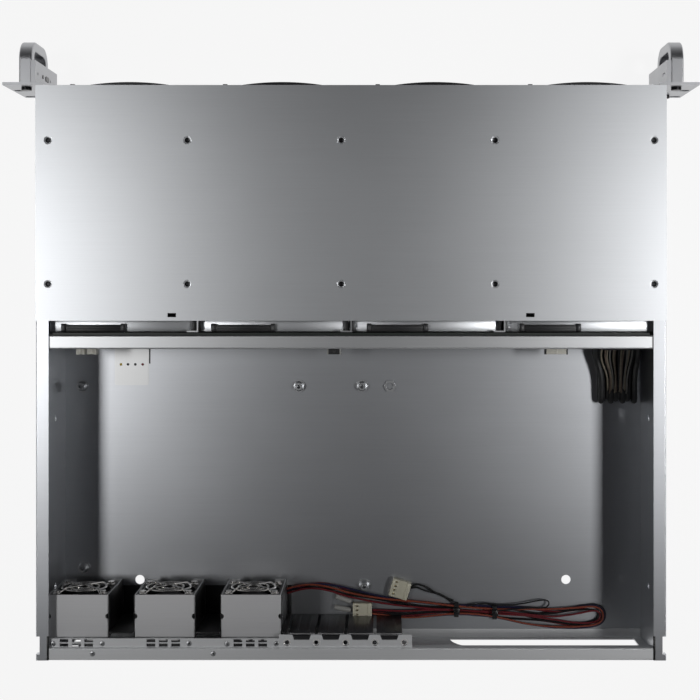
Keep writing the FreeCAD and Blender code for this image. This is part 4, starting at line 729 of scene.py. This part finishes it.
fixingSet = {
    "tabHoles": (44.6, 24.1, 3.7, -16.6, -37.0), "tabRow": 187.4, "tabTop": 62.0,
    "ledgeScrews": ((207.0, 188.2), (172.9, 188.2), (112.6, 188.0), (86.2, 188.4), (52.0, 188.0)),
    "flangeScrews": ((179.1, 194.4), (95.4, 194.4)), "flangeTop": 64.8,
    "head": 1.9,  # radius
    "slot": (0.75, 0.2), "slotFrom": 0.3, "slotTo": 0.47,  # black cross, painted shade of a recess: half its length and width, its depth
    "turn": 23.0,  # each screw stopped at another angle
    # outlines as (radius, height) pairs
    "rim": [(1.75, -0.2), (2.4, -0.2), (2.45, 0.12), (2.15, 0.36), (1.8, 0.2), (1.75, -0.2)],
    "rivetForm": [(0, 1.0), (1.1, 0.85), (1.7, 0.4), (1.8, 0), (0, 0)],
    "rivet": (-103.3, 179.6, 1.2),
    # black strips in the rear corner seams, painted shade in the gaps
    "seam": (209.2, 210.7), "seamRun": (182.4, 198.9), "seamTop": (64.0, 65.1),
}


def screwHead(radius):
    # a low round head
    return turned([(0, 0.45), (radius * 0.6, 0.42), (radius * 0.9, 0.28), (radius, 0.05), (radius, -0.3),
                   (0, -0.3)], 28)


def makeFixings():
    # rear screws with black crosses painted as the shade of their recesses, rolled rims round the slot screws'
    # holes, black strips painted as shade in the corner seams, and a floor rivet
    shape = bmesh.new()
    for x in fixingSet["tabHoles"]:
        merge(shape, turned(fixingSet["rim"], 28), 0, spot(x, fixingSet["tabRow"], fixingSet["tabTop"]))
    heads = [(*place, fixingSet["tabTop"]) for place in fixingSet["ledgeScrews"]]
    heads += [(*place, fixingSet["flangeTop"]) for place in fixingSet["flangeScrews"]]
    long, wide = fixingSet["slot"]
    low, high = fixingSet["slotFrom"], fixingSet["slotTo"]
    for number, place in enumerate(heads):
        at = spot(*place, fixingSet["turn"] * number)
        merge(shape, screwHead(fixingSet["head"]), 3, at)
        # painted shade: a flat black cross on the head for its recess
        addBlock(shape, (-long, -wide, low), (long, wide, high), 0, 1, at)
        addBlock(shape, (-wide, -long, low), (wide, long, high), 0, 1, at)
    near, far = fixingSet["seam"]
    start, end = fixingSet["seamRun"]
    low, high = fixingSet["seamTop"]
    # painted shade: black strips in the corner seams
    for x0, x1 in ((near, far), (-far, -near)):
        addBlock(shape, (x0, start, low), (x1, end, high), 0.2, 2)
    merge(shape, turned(fixingSet["rivetForm"], 24), 0, spot(*fixingSet["rivet"]))
    makePiece("rearFixings", shape, ["chromedWire", "blackScrew", "socketMoulding", "screwSteel"])


coverScrewSet = {
    "columns": (209.7, 113.3, 6.8, -99.7, -209.7),
    "rows": (-161.0, -61.5),
    # outlines as (radius, height) pairs
    "head": [(0, 65.1), (0.8, 65.1), (0.95, 65.4), (1.75, 65.55), (2.45, 65.3), (2.45, 61.2), (0, 61.2)],
    "rim": [(1.8, 65.3), (2.45, 65.3), (2.85, 65.9), (2.8, 66.1), (2.3, 66.0), (1.85, 65.6), (1.8, 65.3)],
}


def makeCoverScrews():
    # black sunk heads in pressed steel rims
    shape = bmesh.new()
    for x in coverScrewSet["columns"]:
        for y in coverScrewSet["rows"]:
            merge(shape, turned(coverScrewSet["head"]), 0, spot(x, y))
            merge(shape, turned(coverScrewSet["rim"]), 1, spot(x, y))
    makePiece("coverScrews", shape, ["blackScrew", "coverSheet"], stands=["cover_screws"])


guardSet = {
    "rings": (5.5, 10.5, 15.5),
    "wire": 0.75,
    "front": 153.7, "back": 155.4,
    "ringSet": 0.6,  # rings behind the guard's front
    "hold": 16.0,  # the fan's screws from its middle
    "loop": 2.2,
    # a leg starts at its screw on the back, rises to the front and runs over the rings to the middle
    "legBack": ((1.4, 0), (3.2, -0.4)), "legRise": 4.6,  # inwards from the screw, and forwards
    "legRun": (9.0, 3.6), "legFront": 0.5,  # outwards from the middle, and over the rings
}


def makeGuards():
    # chromed guards: rings, four legs over them and a loop round each screw
    turn = Matrix.Rotation(math.pi / 2, 4, "X")
    front, back, hold = guardSet["front"], guardSet["back"], guardSet["hold"]
    over = front - guardSet["legFront"]
    legLine = [(hold - inward, back + forward) for inward, forward in guardSet["legBack"]]
    legLine += [(reach, over) for reach in (hold - guardSet["legRise"], *guardSet["legRun"])]
    for number in range(1, 4):
        low, high = boxOf("fan_guard_%d" % number)
        x, z = (low[0] + high[0]) / 2, (low[2] + high[2]) / 2
        shape = bmesh.new()
        for ring in guardSet["rings"]:
            merge(shape, wireRing(ring, guardSet["wire"]), 0, spot(x, front + guardSet["ringSet"], z) @ turn)
        for side in (-1, 1):
            for up in (-1, 1):
                merge(shape, wireRing(guardSet["loop"], guardSet["wire"], 24), 0,
                      spot(x + side * hold, back, z + up * hold) @ turn)
                leg = [(x + side * reach, y, z + up * reach) for reach, y in legLine]
                merge(shape, strandTube(readRoute(leg), guardSet["wire"] / 1000))
        makePiece("fanGuard%d" % number, shape, ["chromedWire"], stands=["fan_guard_%d" % number])


shadeSheetSet = {
    "cheek": 0.6, "cheekGap": 0.02,  # painted shade: a black sheet on each side of a bracket, where its sides lie in shade
    "cheekSet": (0.1, 0.6),  # above the bracket's foot, below its top
    "wall": 212.0,  # inner face of the side wall
    # painted shade: a black sheet on the floor between the fans, its front, back, thickness, last end and gap
    "floorShadeFront": 160.0, "floorShadeBack": 181.6, "floorShadeThick": 0.5, "floorShadeEnd": 44.4, "floorShadeGap": 0.8,
    "backShade": (181.0, 181.7, 59.6),  # painted shade: a black sheet upright at the rear between the fans; from, to along the case, top
    "vent": ((44.5, 186.2, 59.8), (186.8, 197.6, 60.3)),  # corners of the black sheet under the rear vents, painted shade seen through them
    "floor": 1.2,
}


def makeShadeSheets():
    # black sheets that paint shade: on the brackets' sides, on the floor and upright at the rear between them,
    # and under the rear vents
    shape = bmesh.new()
    boxes = [boxOf("fan_bracket_%d" % number) for number in range(1, 4)]
    thick, gap, floor = shadeSheetSet["cheek"], shadeSheetSet["cheekGap"], shadeSheetSet["floor"]
    foot, head = shadeSheetSet["cheekSet"]
    for low, high in boxes:
        for x0, x1 in ((low[0] - thick, low[0] - gap), (high[0] + gap, high[0] + thick)):
            if x1 < shadeSheetSet["wall"]:
                addBlock(shape, (x0, low[1], low[2] + foot), (x1, high[1], high[2] - head), 0.2)
    near, far, top = shadeSheetSet["backShade"]
    starts = [low[0] for low, high in boxes]
    ends = [high[0] for low, high in boxes[1:]] + [shadeSheetSet["floorShadeEnd"]]
    for start, end in zip(starts, ends):
        left, right = start - shadeSheetSet["floorShadeGap"], end + shadeSheetSet["floorShadeGap"]
        addBlock(shape, (right, shadeSheetSet["floorShadeFront"], floor),
                 (left, shadeSheetSet["floorShadeBack"], floor + shadeSheetSet["floorShadeThick"]), 0.2)
        addBlock(shape, (right, near, floor), (left, far, top), 0.2)
    addBlock(shape, *shadeSheetSet["vent"], 0.15, 1)
    makePiece("fanShadeSheets", shape, ["socketMoulding", "trayMoulding"])


baySet = {
    "webs": (211.4, 107.7, 1.3, -105.1, -211.4), "webGap": 1.2,  # walls and cage dividers
    "front": -36.9, "back": -28.4, "low": 56.4, "high": 57.2,
    "sockets": ((157.7, 201.6), (53.2, 97.2), (-53.2, -11.2), (-159.6, -117.6)),
    "socketFront": -33.2, "socketTop": 59.4,
    "ridge": (1.3, 2.9, -0.4, 0.25),  # from and to behind the socket's front, from and to over its top
    "ridgeIn": 1,  # from the latches
    "latch": 3.0, "latchOut": (0.4, 0.8, 0.9),  # past the socket's end, its front and its top
    "button": (0.9, 1.4, 0.4, 1.3),  # lighter top on each latch, a painted highlight: in from the latch's sides and front, from and to over the socket's top
    "buttonBack": 1.2,
    "posts": ((0.5, 2.9), (-2.9, -0.8)), "postFront": 0.4, "postFoot": 6, "postTop": 60.6,
    "stud": [(0, 0.5), (0.5, 0.45), (0.8, 0.1), (0.8, -0.3), (0, -0.3)], "studPlace": (3.9, 0.9),
}


def makeBayTops():
    # pale shelves behind the drives, the sockets' black tops with a latch at each end, each latch with a
    # lighter top as a painted highlight, and the posts between
    front, back, low, high = (baySet[key] for key in ("front", "back", "low", "high"))
    shape = bmesh.new()
    gap = baySet["webGap"]
    for left, right in zip(baySet["webs"], baySet["webs"][1:]):
        addBlock(shape, (right + gap, front, low), (left - gap, back, high), 0.3)
    start, top, latch = baySet["socketFront"], baySet["socketTop"], baySet["latch"]
    foot = high - 0.1
    for left, right in baySet["sockets"]:
        addBlock(shape, (left, start, foot), (right, back, top), 0.4, 1)
        near, far, under, over = baySet["ridge"]
        inset = latch + baySet["ridgeIn"]
        addBlock(shape, (left + inset, start + near, top + under),
                 (right - inset, start + far, top + over), 0.2, 2)
        out, forward, rise = baySet["latchOut"]
        side, near, under, over = baySet["button"]
        for x0, x1 in ((left - out, left + latch), (right - latch, right + out)):
            addBlock(shape, (x0, start - forward, foot), (x1, back, top + rise), 0.6, 2)
            # painted highlight: a lighter top on the latch
            addBlock(shape, (x0 + side, start - forward + near, top + under),
                     (x1 - side, back - baySet["buttonBack"], top + over), 0.3, 3)
    aside, before = baySet["studPlace"]
    for x in baySet["webs"][1:-1]:
        for x0, x1 in baySet["posts"]:
            addBlock(shape, (x + x0, front + baySet["postFront"], low - baySet["postFoot"]),
                     (x + x1, back, baySet["postTop"]), 0.4, 1)
        merge(shape, turned(baySet["stud"], 16), 4, spot(x + aside, back - before, high))
    coats = ["coverSheet", "socketMoulding", "trayMoulding", "buttonMoulding", "chromedWire"]
    makePiece("bayTops", shape, coats)


headerSet = {
    # from, to across the case, underside, top, body finish, end finish
    "rows": ((189.3, 195.1, 34.0, 43.0, 0, 0), (180.9, 187.3, 34.0, 43.0, 0, 0),
             (7.6, 17.6, 34.0, 42.0, 1, 2), (-153.4, -137.2, 34.0, 40.0, 0, 1)),
    "front": -26.1, "back": -11.6,
    "wall": 1.1, "bodyBack": 0.2,  # the ends stand back past the body
    "core": 3,  # how deep the foot is filled
    "key": (0.9, 4.5, 0.4, -0.3, 0.35),  # half its width, then from and to before the back and over the top
    "pin": 0.32, "pinPitch": 2.54, "pinRows": (2.8, 5.3), "pinShort": 2.5,
}


def makeHeaders():
    # the board's plug headers: a shell with two ends, a keyed top and its pins
    shape = bmesh.new()
    front, back, wall = headerSet["front"], headerSet["back"], headerSet["wall"]
    half, near, far, under, over = headerSet["key"]
    pin, rim = headerSet["pin"], back - headerSet["bodyBack"]
    for left, right, low, high, body, ends in headerSet["rows"]:
        addBlock(shape, (left + wall, front, low), (right - wall, rim, low + wall), 0.2, body)
        addBlock(shape, (left + wall * 0.8, front, high - wall), (right - wall * 0.8, rim, high), 0.3, body)
        addBlock(shape, (left + wall, front, low + 0.5),
                 (right - wall, front + headerSet["core"], high - 0.5), 0, body)
        for x0, x1 in ((left, left + wall), (right - wall, right)):
            addBlock(shape, (x0, front, low), (x1, back, high), 0.25, ends)
        middle = (left + right) / 2
        addBlock(shape, (middle - half, back - near, high + under),
                 (middle + half, back - far, high + over), 0.15, body)
        count = int((right - left - 2 * wall) / headerSet["pinPitch"])
        for number in range(count):
            x = middle + (number - (count - 1) / 2) * headerSet["pinPitch"]
            for rise in headerSet["pinRows"]:
                addBlock(shape, (x - pin, front, low + rise - pin),
                         (x + pin, back - headerSet["pinShort"], low + rise + pin), 0.1, 3)
    makePiece("boardHeaders", shape, ["headerMoulding", "socketMoulding", "sleeveMoulding", "brassPin"],
              stands=["backplane_headers"])


cardSet = {
    "low": (150.5, -20.0), "high": (175.6, 12.7), "floor": 1.2, "thick": 0.2,
    "corner": 1.5,
    "dots": ((171.0, "yellowInk"), (165.8, "tieMoulding"), (160.4, "tieMoulding"), (155.0, "redWire")),
    "dotRow": -2.6,
    "dot": [(0, 0.12), (0.9, 0.12), (1.0, 0.05), (1.0, -0.1), (0, -0.1)],  # (radius, height) pairs
    "slit": ((149.3, -20.0), (150.3, -3.2)),  # corners of the black strip beside it, painted shade of a slit
}


def makeCard():
    # a plain foil card stuck to the floor, with four coloured dots and a black strip beside it, painted as the
    # shade in a slit
    shape = bmesh.new()
    (x0, y0), (x1, y1), floor = cardSet["low"], cardSet["high"], cardSet["floor"]
    sheet = bmesh.new()
    bmesh.ops.create_grid(sheet, x_segments=1, y_segments=1, size=0.5)
    bmesh.ops.scale(sheet, vec=(x1 - x0, y1 - y0, 1), verts=sheet.verts)
    bmesh.ops.bevel(sheet, geom=list(sheet.verts), affect="VERTICES", offset=cardSet["corner"], segments=4,
                    profile=0.5, material=-1)
    bmesh.ops.translate(sheet, vec=((x0 + x1) / 2, (y0 + y1) / 2, floor), verts=sheet.verts)
    bmesh.ops.solidify(sheet, geom=list(sheet.faces), thickness=-cardSet["thick"])
    bmesh.ops.recalc_face_normals(sheet, faces=sheet.faces)
    merge(shape, sheet, 0, spot())
    coats = ["cardLabel", "yellowInk", "tieMoulding", "redWire"]
    for x, coat in cardSet["dots"]:
        dot = turned(cardSet["dot"], 20)
        merge(shape, dot, coats.index(coat), spot(x, cardSet["dotRow"], floor + cardSet["thick"]))
    # painted shade: a black strip for the slit
    start, end = cardSet["slit"]
    addBlock(shape, (*start, floor - 0.2), (*end, floor + 0.06), 0, coats.index("tieMoulding"))
    makePiece("floorCard", shape, coats)


makeShields()
makeFixings()
makeCoverScrews()
makeGuards()
makeShadeSheets()
makeBayTops()
makeHeaders()
makeCard()
print("shields, fixings, guards, dampers, bay tops, headers and card made")


studioSet = {
    "floorHalf": 4, "floorDrop": 0.0006,  # metres, as all lengths here
    "floorTone": 0.82,
    "floorGlow": 0.9,  # share of the floor that is plain white to the camera and to reflections
    "lampSides": ((0.80, 0.158), (-0.88, 0.24)),  # place across the case and power of each lamp
    "lampHeight": 1.50,
    "lampBack": -0.06,  # lamps a little towards the drives
    "lampSize": (0.5, 0.2),
    "lampAim": 0.16,  # each lamp points at its own half of the case
    "lampGrid": 26,  # degrees, honeycomb in front of the lamp
    "roomTone": 0.06,
    "wallTop": (0.12, (0.50, 0.50, 0.50)),  # what shining metal mirrors: pale up to here
    "ceiling": (0.78, (0.02, 0.02, 0.022)),  # and dark from here up
}


def highest(tree, first, second):
    return addNode(tree, "Math", {"operation": "MAXIMUM"}, {0: first, 1: second}).outputs[0]


def makeFloor():
    # pale paper that looks white to the camera and in reflections
    shape = bmesh.new()
    bmesh.ops.create_grid(shape, x_segments=1, y_segments=1, size=studioSet["floorHalf"])
    bmesh.ops.translate(shape, vec=(0, 0, -studioSet["floorDrop"]), verts=shape.verts)
    mesh = bpy.data.meshes.new("studioFloor")
    shape.to_mesh(mesh)
    shape.free()
    floor = bpy.data.objects.new("studioFloor", mesh)
    scene.collection.objects.link(floor)
    paper = bpy.data.materials.new("paper")
    paper.use_nodes = True
    tree = paper.node_tree
    tree.nodes.clear()
    tone = studioSet["floorTone"]
    rays = addNode(tree, "LightPath").outputs
    seen = highest(tree, rays["Is Camera Ray"], rays["Is Glossy Ray"])
    seen = highest(tree, seen, rays["Is Transmission Ray"])
    share = multiply(tree, seen, studioSet["floorGlow"])
    matt = addNode(tree, "BsdfDiffuse", {}, {"Color": (tone, tone, tone, 1)})
    glow = addNode(tree, "Emission", {}, {"Color": (1, 1, 1, 1), "Strength": 1.0})
    mixed = addNode(tree, "MixShader", {}, {0: share, 1: matt.outputs[0], 2: glow.outputs[0]})
    addNode(tree, "OutputMaterial", {}, {"Surface": mixed.outputs[0]})
    mesh.materials.append(paper)


def hangLamps():
    # a soft lamp over each side of the case
    for across, power in studioSet["lampSides"]:
        lamp = bpy.data.lights.new("softLamp", "AREA")
        lamp.shape = "RECTANGLE"
        lamp.size, lamp.size_y = studioSet["lampSize"]
        lamp.energy = power
        lamp.spread = math.radians(studioSet["lampGrid"])
        holder = bpy.data.objects.new("softLamp", lamp)
        holder.location = (across, studioSet["lampBack"], studioSet["lampHeight"])
        aim = Vector((math.copysign(studioSet["lampAim"], across), studioSet["lampBack"], 0))
        holder.rotation_euler = (holder.location - aim).to_track_quat("Z", "Y").to_euler()
        holder.visible_camera = False
        scene.collection.objects.link(holder)


def makeRoom():
    # white to the camera, a plain grey light, and pale walls with a dark ceiling in reflections
    room = bpy.data.worlds.new("room")
    room.use_nodes = True
    scene.world = room
    tree = room.node_tree
    tree.nodes.clear()
    rays = addNode(tree, "LightPath").outputs
    plain = addNode(tree, "Background", {}, {"Color": (1, 1, 1, 1), "Strength": studioSet["roomTone"]})
    white = addNode(tree, "Background", {}, {"Color": (1, 1, 1, 1), "Strength": 1.0})
    direction = addNode(tree, "TexCoord").outputs["Generated"]
    height = addNode(tree, "SeparateXYZ", {}, {"Vector": direction}).outputs["Z"]
    wall = addNode(tree, "ValToRGB", {}, {"Fac": height})
    for stop, (place, tone) in zip(wall.color_ramp.elements, (studioSet["wallTop"], studioSet["ceiling"])):
        stop.position = place
        stop.color = (*tone, 1)
    shining = addNode(tree, "Background", {}, {"Color": wall.outputs["Color"], "Strength": 1.0})
    gloss = addNode(tree, "MixShader", {},
                    {0: rays["Is Glossy Ray"], 1: plain.outputs[0], 2: shining.outputs[0]})
    through = highest(tree, rays["Is Camera Ray"], rays["Is Transmission Ray"])
    final = addNode(tree, "MixShader", {}, {0: through, 1: gloss.outputs[0], 2: white.outputs[0]})
    addNode(tree, "OutputWorld", {}, {"Surface": final.outputs[0]})


makeFloor()
hangLamps()
makeRoom()
scene.view_settings.view_transform = "Standard"
setCamera()
print("studio and camera set")
